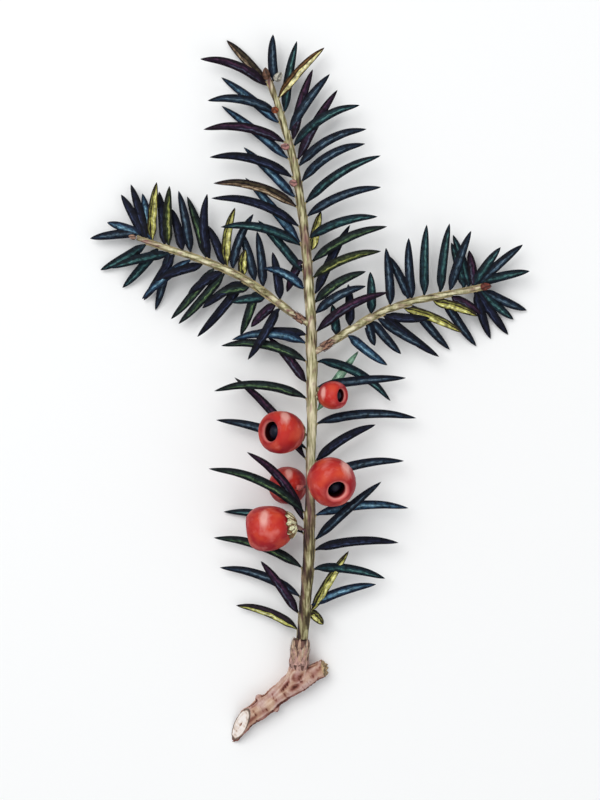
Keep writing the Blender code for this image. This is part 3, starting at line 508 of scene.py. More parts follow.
# Height of a blade's upper face at a share of its half width: an arch and a raised midrib, less the fold.
def bladeTop(across, half):
    arch = needle["thick"] / 2 * np.sqrt(np.maximum(1 - across ** 2, 0))
    rib = needle["rib"] * np.exp(-(across / needle["ribWidth"]) ** 2)
    return (arch + rib) * np.clip(half / needle["width"] * 2.2, 0.25, 1) - bladeFold(across, half)


# Side and face of needles' lines, rolled by each needle's roll, which fades a little towards the tip.
def rolledFrame(lines, rolls, share):
    return lineFrame(lines, rolls[:, None, None] * (1 - needle["untwist"] * share)[None, :, None])


# Blades: across a line, a point lies half the width times cos v to the side, on the upper face or as far below.
def bladeGrids(lines, rolls):
    share = np.linspace(0, 1, lines.shape[1])
    side, face = rolledFrame(lines, rolls, share)
    angle = turnsRound(needle["columns"])
    half = bladeHalf(share)[:, None]
    across = np.cos(angle)[None]
    top = bladeTop(across, half)
    below = 2 * -bladeFold(across, half) - top + 0.12 * needle["thick"]
    return offLine(lines, side, face, half * across, np.where(np.sin(angle) >= 0, top, below))


# Bands on the blades: between two shares of the half width a point lies a little over the upper face or under it, and
# both shares draw together at the band's ends. Edges waver by a tenth of the half width, each needle in its own way,
# and a higher band lies over the ones before it.
def bandGrids(lines, rolls, flips, band, layer, seed):
    low, high, start, end = band[:4]
    share = np.linspace(0, 1, tintAndSheenBands["stations"])
    place = start + (end - start) * share
    steps = np.linspace(0, 1, lines.shape[1])
    path = np.stack([np.stack([np.interp(place, steps, axis) for axis in line.T], -1) for line in lines])
    side, face = rolledFrame(path, rolls, place)
    angle = turnsRound(tintAndSheenBands["columns"])
    half = bladeHalf(place)[:, None]
    swell = np.sin(np.clip(share, 0.004, 0.996) * math.pi)[:, None] ** 0.5
    draw = np.random.default_rng(seed)
    phase = draw.uniform(0, math.tau, (len(lines), 1, 1))
    waver = sum(size * np.sin(share[:, None] * waves + times * phase) for size, waves, times in tintAndSheenBands["wavers"])
    reach = (high - low) / 2 * draw.uniform(*tintAndSheenBands["widths"], (len(lines), 1, 1))
    across = (low + high) / 2 + waver + reach * np.cos(angle)[None] * swell
    across = np.clip(across, -tintAndSheenBands["edge"], tintAndSheenBands["edge"])
    lift = tintAndSheenBands["rise"] * (1 + tintAndSheenBands["step"] * layer)
    rise = np.where(np.sin(angle) >= 0, lift * np.sin(angle), tintAndSheenBands["sink"] * np.sin(angle))
    height = bladeTop(across, half) + rise * swell
    return offLine(path, side, face, flips[:, None, None] * half * across, height)


# One joined piece of blades and one of each band for every tint. A needle that points left has its bands turned over,
# so that their low sides stay below.
def makeNeedles(grown):
    for letter, tint in needleTints.items():
        chosen = [one for one in grown if one["tint"] == letter]
        if not chosen:
            continue
        lines = np.array([one["line"] for one in chosen])
        rolls = np.array([one["roll"] for one in chosen])
        flips = np.array([-1.0 if math.cos(math.radians(one["heading"])) < -0.05 else 1.0 for one in chosen])
        nodes = sorted({one["node"] for one in chosen})
        name = tint["name"]
        look = mottledLook(f"{name}Blade", tint["blade"], **needle["finish"])
        gridPiece(f"needles_{name}", bladeGrids(lines, rolls), look, nodes)
        for number, band in enumerate(tint["bands"], 1):
            grids = bandGrids(lines, rolls, flips, band, number - 1, ord(letter) + number)
            look = mottledLook(f"{name}Band{number}", band[4], **needle["finish"])
            gridPiece(f"needle_bands_{name}_{number}", grids, look, nodes)


# Leaf bases: from each needle's foot a slim ridge sinks to the stem's skin and runs down it, as a smooth curve through
# four points with a radius that swells and dies away.
leafBase = dict(run=4.2 * mm, shares=(0.05, 0.5, 1.0), radii=(0.20, 0.30, 0.26, 0.05), sunk=0.08 * mm, columns=12,
                stations=16, colour=(0.30, 0.24, 0.115))


# Each ridge's first point lies on its needle's line, and the rest lie along the skin, back from the needle's foot.
def makeLeafBases(grown):
    grids = []
    for one in grown:
        points = [one["line"][1]]
        for share in leafBase["shares"]:
            back = (foothold["back"] + leafBase["run"] * share) * one["ahead"][stems[one["stem"]]["axis"]]
            point, _, radius = station(one["stem"], one["place"] - back)
            points.append(point + one["lean"] * (radius - leafBase["sunk"]))
        rows = np.column_stack([np.array(points), np.array(leafBase["radii"]) * mm])
        grids.append(limbGrid(smoothRoute(rows, leafBase["stations"]), leafBase["columns"]))
    look = mottledLook("leafBaseTan", leafBase["colour"], 0.6, spread=0.6)
    gridPiece("leaf_bases", np.array(grids), look, sorted({one["node"] for one in grown}))


# Stems. Leaf bases run down the skin in a spiral: each is a ridge that grows over its length and ends in a small step.
# rim is how strongly painted shade darkens a stem's two rims, its level sides.
stemForm = dict(rows=420, columns=56, start=0.5 * mm, spacing=1.9 * mm, ridgeLength=5.2 * mm, ridgeHeight=0.10,
                ridgeWidth=0.34, golden=math.radians(137.5), wander=0.25, lean=0.06, ribs=0.012, ribCount=11,
                ribSway=4 * mm, squeeze=0.18, tone=0.45, groove=1.5, soft=0.10, streak=0.15, rim=0.26, spots=0.55)


# The skin's relief, as a share of the radius: the highest of the spiral's ridges at each point, with fine ribs.
def stemRelief(route, seed):
    draw = np.random.default_rng(seed)
    walked = walkedAlong(route[:, :3])
    ends = np.arange(stemForm["start"], walked[-1] + stemForm["ridgeLength"], stemForm["spacing"])
    walked = walked[:, None]
    angle = turnsRound(stemForm["columns"])[None]
    relief = np.zeros((len(route), stemForm["columns"]))
    for number, end in enumerate(ends):
        middle = number * stemForm["golden"] + draw.uniform(-stemForm["wander"], stemForm["wander"])
        turned = angle - middle + stemForm["lean"] * (walked - end) / mm
        away = np.abs((turned + math.pi) % math.tau - math.pi)
        along = (walked - end) / stemForm["ridgeLength"] + 1
        grow = eased(along, 0, 0.75) * (1 - eased(along, 0.96, 1.04))
        relief = np.maximum(relief, stemForm["ridgeHeight"] * grow * np.exp(-(away / stemForm["ridgeWidth"]) ** 2))
    return relief + stemForm["ribs"] * np.sin(angle * stemForm["ribCount"] + 3 * np.sin(walked / stemForm["ribSway"]))


# A stem's skin is a round limb with the relief. tone is low in the grooves and in streaks that run along the stem, and
# painted shade lowers it at both rims. blushAndShade is purple-brown: painted shade down the left edge, and the skin's
# own purple-brown in short bands at the joints and in spots.
def makeStem(name, row, look):
    route = smoothRoute(np.array(row["foot"] + row["rows"] + row["tip"]) * mm, stemForm["rows"])
    seed = row["seed"]
    relief = stemRelief(route, seed)
    grid = limbGrid(route * (1, 1, 1, row["slim"]), stemForm["columns"], relief)
    angle = turnsRound(stemForm["columns"])[None]
    place = route[:, row["axis"]][:, None] / mm
    drawn = grid * np.where(np.arange(3) == row["axis"], stemForm["squeeze"], 1.0)   # squeezed along the stem
    # The rim term is painted shade at the stem's two level sides.
    tone = stemForm["tone"] + stemForm["groove"] * relief + stemForm["soft"] * hills(grid, 2.6 * mm, seed + 1) \
        + stemForm["streak"] * hills(drawn, 0.6 * mm, seed + 4) - stemForm["rim"] * np.abs(np.cos(angle)) ** 3
    low = 0 * place
    if name == "main_stem":    # brightest among the fruits, darkest below them
        tone = tone + 0.12 * eased(-place, -8, 4) - 0.30 * eased(-place, 16, 30) - 0.06 * eased(place, 20, 40)
        low = eased(-place, 10, 30)
    # Painted shade down the left edge, wider low on the main stem, added to the skin's own purple-brown.
    shade = np.exp(-((angle + math.pi) % math.tau - math.pi) ** 2 / (0.55 + 1.1 * low))
    blushAndShade = row["leftShade"] * shade * (0.55 + 0.1 * eased(-place, -20, 10) + 0.45 * low)
    for where, reach, strength in row["blushes"]:
        blushAndShade = blushAndShade + strength * np.exp(-((place - where) / reach) ** 2)
    spots = eased(hills(drawn, 0.8 * mm, seed + 3), 0.35, 0.9)
    blushAndShade = blushAndShade * (0.8 + 0.6 * hills(drawn, 0.9 * mm, seed + 2)) + stemForm["spots"] * spots
    tones = dict(tone=np.clip(tone, 0, 1)[None], blushAndShade=np.clip(blushAndShade, 0, 1)[None])
    gridPiece(name + "_skin", grid[None], look, [name], tones, sharp=60)


# The tone runs from brown grooves to cream, and blushAndShade, the skin's own purple-brown with the painted shade of
# the left edge, turns it to a purple of the same tone.
def makeStemLook():
    look, tree, shader = newMaterial("stemSkin", 0.6, 0.3 * mm, 0.35, specular=0.25, stretch=(1.6, 0.5, 1.6))
    tone = addNode(tree, attributeNode(tree, "tone"), noiseNode(tree, 0.5 * mm, 4.0, (1.4, 0.4, 1.4)), 0.4)
    plain = rampNode(tree, tone, [
        (0.30, (0.040, 0.026, 0.010)), (0.44, (0.145, 0.120, 0.045)), (0.58, (0.33, 0.31, 0.155)),
        (0.72, (0.56, 0.52, 0.31)), (0.90, (0.80, 0.74, 0.52))])
    purple = rampNode(tree, tone, [(0.26, (0.022, 0.008, 0.010)), (0.85, (0.30, 0.15, 0.125))])
    tree.links.new(mixNode(tree, attributeNode(tree, "blushAndShade"), plain, purple), shader.inputs["Base Color"])
    return look


# What all papery scales share. sizes and flares are the spreads of the random draws, cup is how far a scale bends
# round what it stands on, and tightest the least radius that it bends round.
scaleForm = dict(points=11, sway=0.12, spacing=0.92, sizes=(0.85, 1.15), flares=(0.6, 1.3), clear=0.05 * mm,
                 tipPower=2.2, tipRound=0.8, tipHalf=0.004 * mm, cup=0.5, tightest=0.25 * mm)


# Scales: each is a thin shell on a line, half the width times cos v to the side, and bent round the stem by its cup.
def shellGrids(lines, side, face, half, thick, cup, columns=12):
    angle = turnsRound(columns)
    across = half[..., None] * np.cos(angle)
    height = thick * np.sin(angle) * np.clip(half / half.max(), 0.35, 1)[..., None] - cup[..., None] * across ** 2
    return offLine(lines, side, face, across, height)


# Scales in tiers round an axis. Up its length t a scale's radius is the outline's there plus a little, and more by
# flare times t squared towards its tip; its half width falls from its foot to a point.
def scaleTiers(foot, facing, length, outline, tiers, around, scale, width, flare, seed, thick=0.05 * mm):
    draw = np.random.default_rng(seed)
    axis, armX, armY = axes(facing)
    t = np.linspace(0, 1, scaleForm["points"])
    half = np.maximum(width / 2 * (1 - t ** scaleForm["tipPower"]) ** scaleForm["tipRound"], scaleForm["tipHalf"])
    rows = []
    for tier in range(tiers):
        for number in range(around):
            turn = math.tau * (number + 0.5 * tier + draw.uniform(-scaleForm["sway"], scaleForm["sway"])) / around
            out = armX * math.cos(turn) + armY * math.sin(turn)
            size = scale * draw.uniform(*scaleForm["sizes"])
            height = length * tier / tiers * scaleForm["spacing"] + size * t
            radius = np.interp(height, outline[:, 1], outline[:, 0]) + scaleForm["clear"]
            radius = radius + flare * draw.uniform(*scaleForm["flares"]) * t ** 2
            line = foot + axis * height[:, None] + out * radius[:, None]
            side = np.broadcast_to(np.cross(axis, out), line.shape)
            face = np.cross(side, unit(np.gradient(line, axis=0)))
            rows.append((line, side, face, half, scaleForm["cup"] / np.maximum(radius, scaleForm["tightest"])))
    lines, sides, faces, halves, cups = (np.array(values) for values in zip(*rows))
    return shellGrids(lines, sides, faces, halves, thick, cups)


# Buds: an oval core closed over by overlapping scales.
buds = {
    "leader_tip_bud": dict(foot=(-10.2, 73.5, 4.6), facing=(-0.15, 0.98, 0.1), radius=0.85, length=3.0, tone="brown"),
    "leader_pale_bud": dict(foot=(-8.3, 73.2, 5.0), facing=(0.6, 0.7, 0.2), radius=0.95, length=2.6, tone="pale"),
    "leader_side_bud_high": dict(foot=(-8.1, 65.9, 5.6), facing=(-0.2, 0.3, 0.9), radius=0.8, length=1.5, tone="rust"),
    "leader_side_bud_mid": dict(foot=(-4.9, 57.2, 6.0), facing=(-0.9, 0.12, 0.35), radius=0.78, length=2.2,
                                tone="pink"),
    "leader_side_bud_low": dict(foot=(-3.2, 48.4, 6.4), facing=(-0.75, 0.2, 0.6), radius=0.82, length=2.1,
                                tone="pink"),
    "left_tip_bud": dict(foot=(-41.6, 35.6, 4.8), facing=(-0.8, 0.25, 0.4), radius=0.55, length=1.9, tone="tan"),
    "right_tip_bud": dict(foot=(40.8, 23.9, 5.1), facing=(0.95, 0.1, 0.1), radius=0.85, length=2.7, tone="wine"),
}
budTones = dict(brown=(0.13, 0.06, 0.035), pale=(0.42, 0.40, 0.34), rust=(0.34, 0.085, 0.03),
                pink=(0.42, 0.20, 0.18), tan=(0.34, 0.20, 0.14), wine=(0.16, 0.035, 0.022))
budForm = dict(outline=((0.0, 0.0), (0.62, 0.06), (0.95, 0.25), (1.0, 0.42), (0.86, 0.66), (0.5, 0.88), (0.0, 1.0)),
               coreShade=0.35, inset=0.97, cover=0.8, scale=0.62, width=1.05,
               scales=dict(tiers=2, around=4, flare=0.03 * mm, seed=11, thick=0.03 * mm),
               finish=dict(roughness=0.55, grain=0.6 * mm, spread=0.45, specular=0.3))


# A core is the oval outline turned round the bud's axis, and its scales stand a little inside the same outline.
def makeBuds():
    looks = {tone: mottledLook(tone + "BudScale", colour, **budForm["finish"]) for tone, colour in budTones.items()}
    cores = {tone: mottledLook(tone + "BudCore", tuple(budForm["coreShade"] * channel for channel in colour),
                               **budForm["finish"]) for tone, colour in budTones.items()}
    for name, bud in buds.items():
        radius, length = bud["radius"] * mm, bud["length"] * mm
        outline = smoothRoute(np.array(budForm["outline"]) * (radius, length), 30, 2)
        foot = np.array(bud["foot"]) * mm
        core = turnedGrid(foot, bud["facing"], outline[1:-1], 24)
        gridPiece(name + "_core", core[None], cores[bud["tone"]], [name])
        scales = scaleTiers(foot, bud["facing"], length * budForm["cover"], outline * (budForm["inset"], 1),
                            scale=length * budForm["scale"], width=radius * budForm["width"], **budForm["scales"])
        gridPiece(name + "_scales", scales, looks[bud["tone"]], [name])


# The collar of papery scales where the sprig left the old wood, and the scale sleeves at the feet of the side shoots.
collar = dict(foot=(-2.6, -66.7, 4.2), top=(-2.1, -60.35, 4.95), radius=2.3, rows=60, coreRows=48, columns=64,
              outline=((0.80, -0.22), (1.0, 0.08), (0.92, 0.4), (0.95, 0.75), (0.84, 1.0), (0.66, 1.3)),
              wrinkle=0.1 * mm, wrinkleGrain=1.1 * mm, seed=31, flare=0.26 * mm, colour=(0.13, 0.06, 0.045))
collarTiers = {    # from one share of the length to another, tiers, scales round, their length and width, and colour
    "mauve": dict(start=-0.14, end=0.60, tiers=3, around=8, length=2.6, width=1.15, colour=(0.42, 0.25, 0.21), seed=41),
    "tan": dict(start=0.16, end=0.90, tiers=3, around=8, length=2.9, width=0.9, colour=(0.42, 0.27, 0.19), seed=42),
    "pale": dict(start=0.40, end=1.0, tiers=2, around=7, length=2.6, width=0.7, colour=(0.46, 0.36, 0.26), seed=43),
}
joints = {"left_joint_scales": dict(stem="left_side_stem", place=-2.4, radius=1.15),
          "right_joint_scales": dict(stem="right_side_stem", place=4.0, radius=1.35)}
jointForm = dict(length=2.4 * mm, back=1.3 * mm, inset=0.78,
                 scales=dict(tiers=3, around=6, width=0.8 * mm, flare=0.15 * mm),
                 finish=dict(roughness=0.7, grain=0.5 * mm, spread=0.6, specular=0.25))
jointLayers = {"dark": dict(colour=(0.055, 0.022, 0.02), scale=1.8 * mm, seed=51),
               "rust": dict(colour=(0.28, 0.155, 0.105), scale=1.5 * mm, seed=52)}


# The core is the outline turned round the collar's axis, with each point moved out or in by the wrinkles, and every
# tier of scales stands on the same outline, read from the tier's own start.
def makeCollar():
    foot, top = np.array(collar["foot"]) * mm, np.array(collar["top"]) * mm
    axis, length = unit(top - foot), np.linalg.norm(top - foot)
    rings = smoothRoute(np.array(collar["outline"]) * (collar["radius"] * mm, length), collar["rows"], 2)
    grid = turnedGrid(foot, axis, rings, collar["columns"])
    wrinkles = collar["wrinkle"] * hills(grid, collar["wrinkleGrain"], collar["seed"])
    grid = grid + unit(grid - grid.mean(1, keepdims=True)) * wrinkles[..., None]
    # The core's dark brown is painted shade, showing in the gaps between the scales.
    look = mottledLook("collarCoreShade", collar["colour"], 0.8, spread=0.5)
    gridPiece("collar_core", grid[None, 2:collar["coreRows"]], look, ["bud_scale_collar"])
    for name, tier in collarTiers.items():
        start, reach = tier["start"] * length, (tier["end"] - tier["start"]) * length
        scales = scaleTiers(foot + axis * start, axis, reach, rings - (0, start), tier["tiers"], tier["around"],
                            tier["length"] * mm, tier["width"] * mm, collar["flare"], tier["seed"])
        look = mottledLook(name + "Scale", tier["colour"], 0.75, grain=0.9 * mm, spread=0.4, specular=0.25)
        gridPiece(f"collar_scales_{name}", scales, look, ["bud_scale_collar"])


# A sleeve's outline narrows evenly from the joint's radius to a little more than the side stem's.
def makeJointScales():
    looks = {tone: mottledLook(f"jointScale{tone.capitalize()}", layer["colour"], **jointForm["finish"])
             for tone, layer in jointLayers.items()}
    for name, joint in joints.items():
        point, ahead, radius = station(joint["stem"], joint["place"] * mm)
        wide, length = joint["radius"] * mm, jointForm["length"]
        outline = np.array(((wide, -1), (wide, 0), (radius * 1.25, length), (radius * 1.2, 1)))
        for tone, layer in jointLayers.items():
            scales = scaleTiers(point - ahead * jointForm["back"], ahead, length, outline * (jointForm["inset"], 1),
                                scale=layer["scale"], seed=layer["seed"], **jointForm["scales"])
            gridPiece(f"{name}_{tone}", scales, looks[tone], [name])


# Fruits: centre, facing, largest radius and height in millimetres, where the stalk leaves the stem, how far the mouth
# is open, the side on which the skin has its painted highlight, and the stalk's colour. A fruit whose foot turns to the
# viewer has no rosette.
fruits = {
    1: dict(centre=(5.2, -2.0, 12.3), facing=(0.79, -0.02, 0.61), radius=3.3, height=6.2, root=-2.6, mouth=1.3,
            highlightSide=(-0.6, 0.2, 0.75), stalk=(0.50, 0.17, 0.16), rosette=True),
    2: dict(centre=(-6.3, -10.7, 13.2), facing=(-0.69, 0.05, 0.72), radius=5.0, height=9.6, root=-11.6, mouth=1.28,
            highlightSide=(0.1, 0.7, 0.7), stalk=(0.30, 0.12, 0.08), rosette=True),
    3: dict(centre=(4.9, -22.0, 16.8), facing=(0.30, -0.43, 0.85), radius=5.6, height=10.3, root=-21.8, mouth=1.0,
            highlightSide=(0.58, 0.6, 0.55), stalk=(0.30, 0.12, 0.08), rosette=True),
    4: dict(centre=(-5.0, -23.6, 4.7), facing=(-0.6, 0.1, -0.8), radius=4.5, height=7.6, root=-23.4, mouth=1.0,
            highlightSide=(0.0, 0.7, 0.7), stalk=(0.42, 0.10, 0.09), rosette=False),
    5: dict(centre=(-9.4, -33.4, 10.6), facing=(-0.97, -0.15, -0.12), radius=5.3, height=10.4, root=-34.4, mouth=1.15,
            highlightSide=(-0.25, 0.5, 0.82), stalk=(0.20, 0.11, 0.09), rosette=True),
}
cupProfile = (    # share of the radius, share of the height, and how far the row opens with a wider mouth
    (0.0, 0.2, 0), (0.3, 0.24, 1), (0.46, 0.42, 1), (0.48, 0.6, 1), (0.42, 0.78, 1), (0.37, 0.9, 1), (0.42, 0.97, 1),
    (0.52, 1.0, 0.7), (0.68, 0.97, 0.4), (0.87, 0.87, 0.1), (0.98, 0.72, 0), (1.0, 0.52, 0), (0.93, 0.32, 0),
    (0.74, 0.13, 0), (0.42, 0.02, 0), (0.0, 0.0, 0),
)
seedProfile = ((0.0, 0.9), (0.15, 0.87), (0.28, 0.78), (0.36, 0.62), (0.35, 0.42), (0.22, 0.3), (0.0, 0.28))
fruitForm = dict(rows=110, columns=96, dents=0.014, dentGrain=5 * mm, pores=0.005, poreGrain=1.6 * mm,
                 seedRows=40, seedColumns=48, seedOval=0.04, seedColour=(0.003, 0.004, 0.014),
                 litSide=(-0.05, 0.2, 0.97), highlightReach=0.36)


# Painted light on a cup's skin: paintedLight rises smoothly from the cup's edge to its lit side, and pale is a painted
# highlight, a spot that fades with the square of the distance from the highlight side, and is longer along the sprig.
def paintedLighting(grid, centre, highlightSide):
    out = unit(grid - centre)
    paintedLight = eased(out @ unit(np.array(fruitForm["litSide"])), 0.42, 1.0)
    away = np.linalg.norm((out - unit(np.array(highlightSide))) * (1.9, 0.8, 1.0), axis=-1)
    return dict(paintedLight=paintedLight[None], pale=np.exp(-(away / fruitForm["highlightReach"]) ** 2)[None])


# A cup and its seed are turned forms. The cup's skin dents by a hundredth of its radius, and the seed is a little oval.
# The UV map's first value runs from the hollow, over the rim and down.
def makeFruits():
    flesh = makeFleshLook()
    coat = mottledLook("seedCoat", fruitForm["seedColour"], 0.4, spread=0.6, specular=0.2)
    cup = np.array(cupProfile)
    oval = fruitForm["seedOval"] * np.cos(2 * turnsRound(fruitForm["seedColumns"]))[None]
    for number, fruit in fruits.items():
        facing = unit(np.array(fruit["facing"]))
        foot = np.array(fruit["centre"]) * mm - facing * fruit["height"] * mm / 2
        size = np.array((fruit["radius"], fruit["height"])) * mm
        wider = np.column_stack([1 + (fruit["mouth"] - 1) * cup[:, 2], np.ones(len(cup))])
        profile = smoothRoute(cup[:, :2] * wider * size, fruitForm["rows"], 2)
        plain = turnedGrid(foot, facing, profile, fruitForm["columns"])
        dents = fruitForm["dents"] * hills(plain, fruitForm["dentGrain"], 60 + number) \
            + fruitForm["pores"] * hills(plain, fruitForm["poreGrain"], 70 + number)
        grid = turnedGrid(foot, facing, profile, fruitForm["columns"], dents)[1:-1]
        tones = paintedLighting(grid, np.array(fruit["centre"]) * mm, fruit["highlightSide"])
        gridPiece(f"fruit_flesh_{number}", grid[None], flesh, [f"fruit_cup_{number}"], tones, 80)
        profile = smoothRoute(np.array(seedProfile) * size * (fruit["mouth"], 1), fruitForm["seedRows"], 2)
        grid = turnedGrid(foot, facing, profile, fruitForm["seedColumns"], oval)[1:-1]
        gridPiece(f"seed_coat_{number}", grid[None], coat, [f"seed_{number}"], sharp=80)
        makeStalk(number, fruit, foot, facing)


# Down the UV map the flesh goes from the hollow, near black with painted shade, over a thin pink rim to crimson. Over
# it lie the painted light of the lit side, patches of orange and pink, and the painted highlight of the pale spot, all
# kept off the hollow and the rim.
def makeFleshLook():
    look, tree, shader = newMaterial("fruitFlesh", 0.5, 0.5 * mm, 0.12, coat=0.12, coatRoughness=0.25, specular=0.15)
    shape = tree.nodes.new("ShaderNodeUVMap")
    shape.uv_map = "shape"
    split = tree.nodes.new("ShaderNodeSeparateXYZ")
    tree.links.new(shape.outputs["UV"], split.inputs["Vector"])
    down = addNode(tree, split.outputs["X"], noiseNode(tree, 2.2 * mm, 2.0), 0.02)
    # The near-black stops of the hollow are painted shade.
    skin = rampNode(tree, down, [
        (0.0, (0.012, 0.002, 0.004)), (0.35, (0.05, 0.003, 0.006)), (0.370, (0.30, 0.03, 0.03)),
        (0.385, (0.78, 0.30, 0.26)), (0.40, (0.66, 0.13, 0.12)), (0.42, (0.27, 0.004, 0.010)),
        (0.46, (0.29, 0.006, 0.014)), (0.62, (0.30, 0.006, 0.013)), (0.84, (0.25, 0.004, 0.014)),
        (1.0, (0.20, 0.002, 0.014))])
    outside = shareNode(tree, down, 0.40, 0.48)
    paintedLight = shareNode(tree, attributeNode(tree, "paintedLight"), 0.0, 1.0, 0.9)
    orange = shareNode(tree, noiseNode(tree, 4.2 * mm, 2.5), 0.44, 0.70, 0.65)
    pink = shareNode(tree, noiseNode(tree, 2.8 * mm, 2.5, (1, 1, 1.7)), 0.54, 0.74, 0.5)
    # pale is a painted highlight round the highlight side, streaked by noise.
    streaked = addNode(tree, attributeNode(tree, "pale"), noiseNode(tree, 1.4 * mm, 3.0, (1.6, 0.45, 1.6)), 0.6)
    pale = shareNode(tree, streaked, 0.45, 1.0, 0.72)
    for share, colour in ((paintedLight, (0.56, 0.030, 0.020)), (orange, (0.70, 0.095, 0.035)), (pink, (0.72, 0.20, 0.18)),
                          (pale, (0.86, 0.46, 0.40))):
        skin = mixNode(tree, mixNode(tree, outside, (0, 0, 0), share), skin, colour)
    tree.links.new(skin, shader.inputs["Base Color"])
    return look


# A stalk: a thin purple core from the stem's skin to the cup's foot, with tiers of scales, and a rosette of broader
# scales that clasps the foot of the cup. The rosette's sizes are for a cup of its own radius, and go with the cup's.
stalk = dict(radius=0.6 * mm, outline=((0.42, -0.2), (0.5, 0.0), (0.72, 0.45), (1.0, 0.8), (1.15, 1.02)), depth=0.8,
             slim=0.8, first=0.3, reach=0.6, inset=0.9, core=(0.12, 0.04, 0.05),
             scales=dict(tiers=3, around=5, scale=1.3 * mm, width=0.9 * mm, flare=0.1 * mm))
rosette = dict(radius=5.3, clasp=((0.8, -0.5), (1.1, 0.0), (2.1, 0.5), (2.7, 1.0), (3.0, 1.5), (3.2, 2.2)), back=1.3,
               length=0.9, tiers=2, around=9, width=1.7, flare=0.25,
               layers={"dark": dict(colour=(0.16, 0.085, 0.03), size=1.9, seed=85),
                       "pale": dict(colour=(0.76, 0.66, 0.40), size=1.7, seed=88)})


# The core is the outline turned round a straight line from the stem's skin to the cup's foot, and the scales stand on
# the same outline. The rosette's scales stand on its clasp, round the cup's own axis.
def makeStalk(number, fruit, foot, facing):
    axis, _, radius = station("main_stem", fruit["root"] * mm)
    along = unit(foot - axis)
    start = axis + along * radius * stalk["depth"]
    length = np.linalg.norm(foot - start)
    outline = np.array(stalk["outline"]) * (stalk["radius"], length)
    core = turnedGrid(start, along, smoothRoute(outline, 30, 2)[4:] * (stalk["slim"], 1), 20)
    look = mottledLook(f"stalkCore{number}", stalk["core"], 0.6, spread=0.4, specular=0.3)
    nodes = [f"fruit_stalk_{number}"]
    gridPiece(f"stalk_core_{number}", core[None], look, nodes)
    first = stalk["first"] * length
    scales = scaleTiers(start + along * first, along, length * stalk["reach"],
                        outline * (stalk["inset"], 1) - (0, first), seed=80 + number, **stalk["scales"])
    finish = dict(roughness=0.6, spread=0.6, specular=0.3)
    look = mottledLook(f"stalkScale{number}", fruit["stalk"], grain=0.6 * mm, **finish)
    gridPiece(f"stalk_scales_{number}", scales, look, nodes)
    if not fruit["rosette"]:
        return
    share = fruit["radius"] / rosette["radius"] * mm
    for kind, layer in rosette["layers"].items():
        scales = scaleTiers(foot - facing * rosette["back"] * share, facing, rosette["length"] * share,
                            np.array(rosette["clasp"]) * share, rosette["tiers"], rosette["around"],
                            layer["size"] * share, rosette["width"] * share, rosette["flare"] * share, layer["seed"])
        look = mottledLook(f"rosette{kind.capitalize()}{number}", layer["colour"], grain=0.5 * mm, **finish)
        gridPiece(f"stalk_rosette_{kind}_{number}", scales, look, nodes)


# Old wood, in millimetres: routes with radii, and knobs with theirs. Painted shade darkens the bark on the side that
# faces shadeFrom, and its furrows run along grainAxis.
oldWood = dict(
    limb=((-19.9, -85.2, 1.95, 1.95), (-16.6, -81.2, 2.05, 2.05), (-14.1, -78.9, 2.2, 2.2), (-11.3, -77.0, 2.35, 2.35),
          (-7.1, -73.6, 2.3, 2.3), (-4.2, -71.3, 2.65, 2.65), (-1.6, -69.8, 2.7, 2.7), (1.6, -68.3, 2.5, 2.1),
          (5.2, -66.8, 2.6, 2.05)),
    neck=((-4.0, -71.2, 2.8, 2.4), (-3.1, -69.4, 3.6, 2.3), (-2.62, -67.0, 4.1, 2.15)),
    knobs=((-12.1, -74.7, 2.7, 0.95), (-8.3, -76.9, 2.4, 1.1), (-3.5, -71.3, 4.5, 0.9)),
    rows=60, columns=48, voxel=0.16 * mm, floor=0.04 * mm, shadeFrom=(0.42, -0.75, -0.5), grainAxis=(0.78, 0.62, 0.0),
)
cutEnd = dict(centre=(-16.45, -80.85, 2.05), facing=(-0.69, 0.03, 0.72), shrink=0.97, depth=0.4 * mm)
stubEnd = dict(centre=(3.3, -67.5, 2.6), facing=(0.95, 0.22, 0.22), shrink=0.92, depth=0.5 * mm)


# A closed mesh of rounded limbs and knobs, fused by a voxel remesh. A knob is a ball: a half circle turned round.
def fusedWood():
    rows, columns = oldWood["rows"], oldWood["columns"]
    parts = [limbGrid(smoothRoute(np.array(oldWood[name]) * mm, rows), columns) for name in ("limb", "neck")]
    dome = np.linspace(-math.pi / 2, math.pi / 2, rows)
    for x, y, z, radius in oldWood["knobs"]:
        profile = np.column_stack([np.cos(dome), np.sin(dome)]) * radius * mm
        parts.append(turnedGrid(np.array((x, y, z)) * mm, (0, 0, 1), profile, columns))
    closed = capped(np.array(parts))
    quads, _ = gridQuads(*closed.shape[:3])
    mesh = bpy.data.meshes.new("old_wood_bark")
    mesh.from_pydata(closed.reshape(-1, 3).tolist(), [], quads.tolist())
    closeSeams(mesh)
    piece = bpy.data.objects.new("old_wood_rough", mesh)
    bpy.context.scene.collection.objects.link(piece)
    remesh = piece.modifiers.new("fuse", "REMESH")
    remesh.mode = "VOXEL"
    remesh.voxel_size = oldWood["voxel"]
    fused = bpy.data.meshes.new_from_object(piece.evaluated_get(bpy.context.evaluated_depsgraph_get()))
    bpy.data.objects.remove(piece)
    fused.name = "old_wood_bark"
    return fused


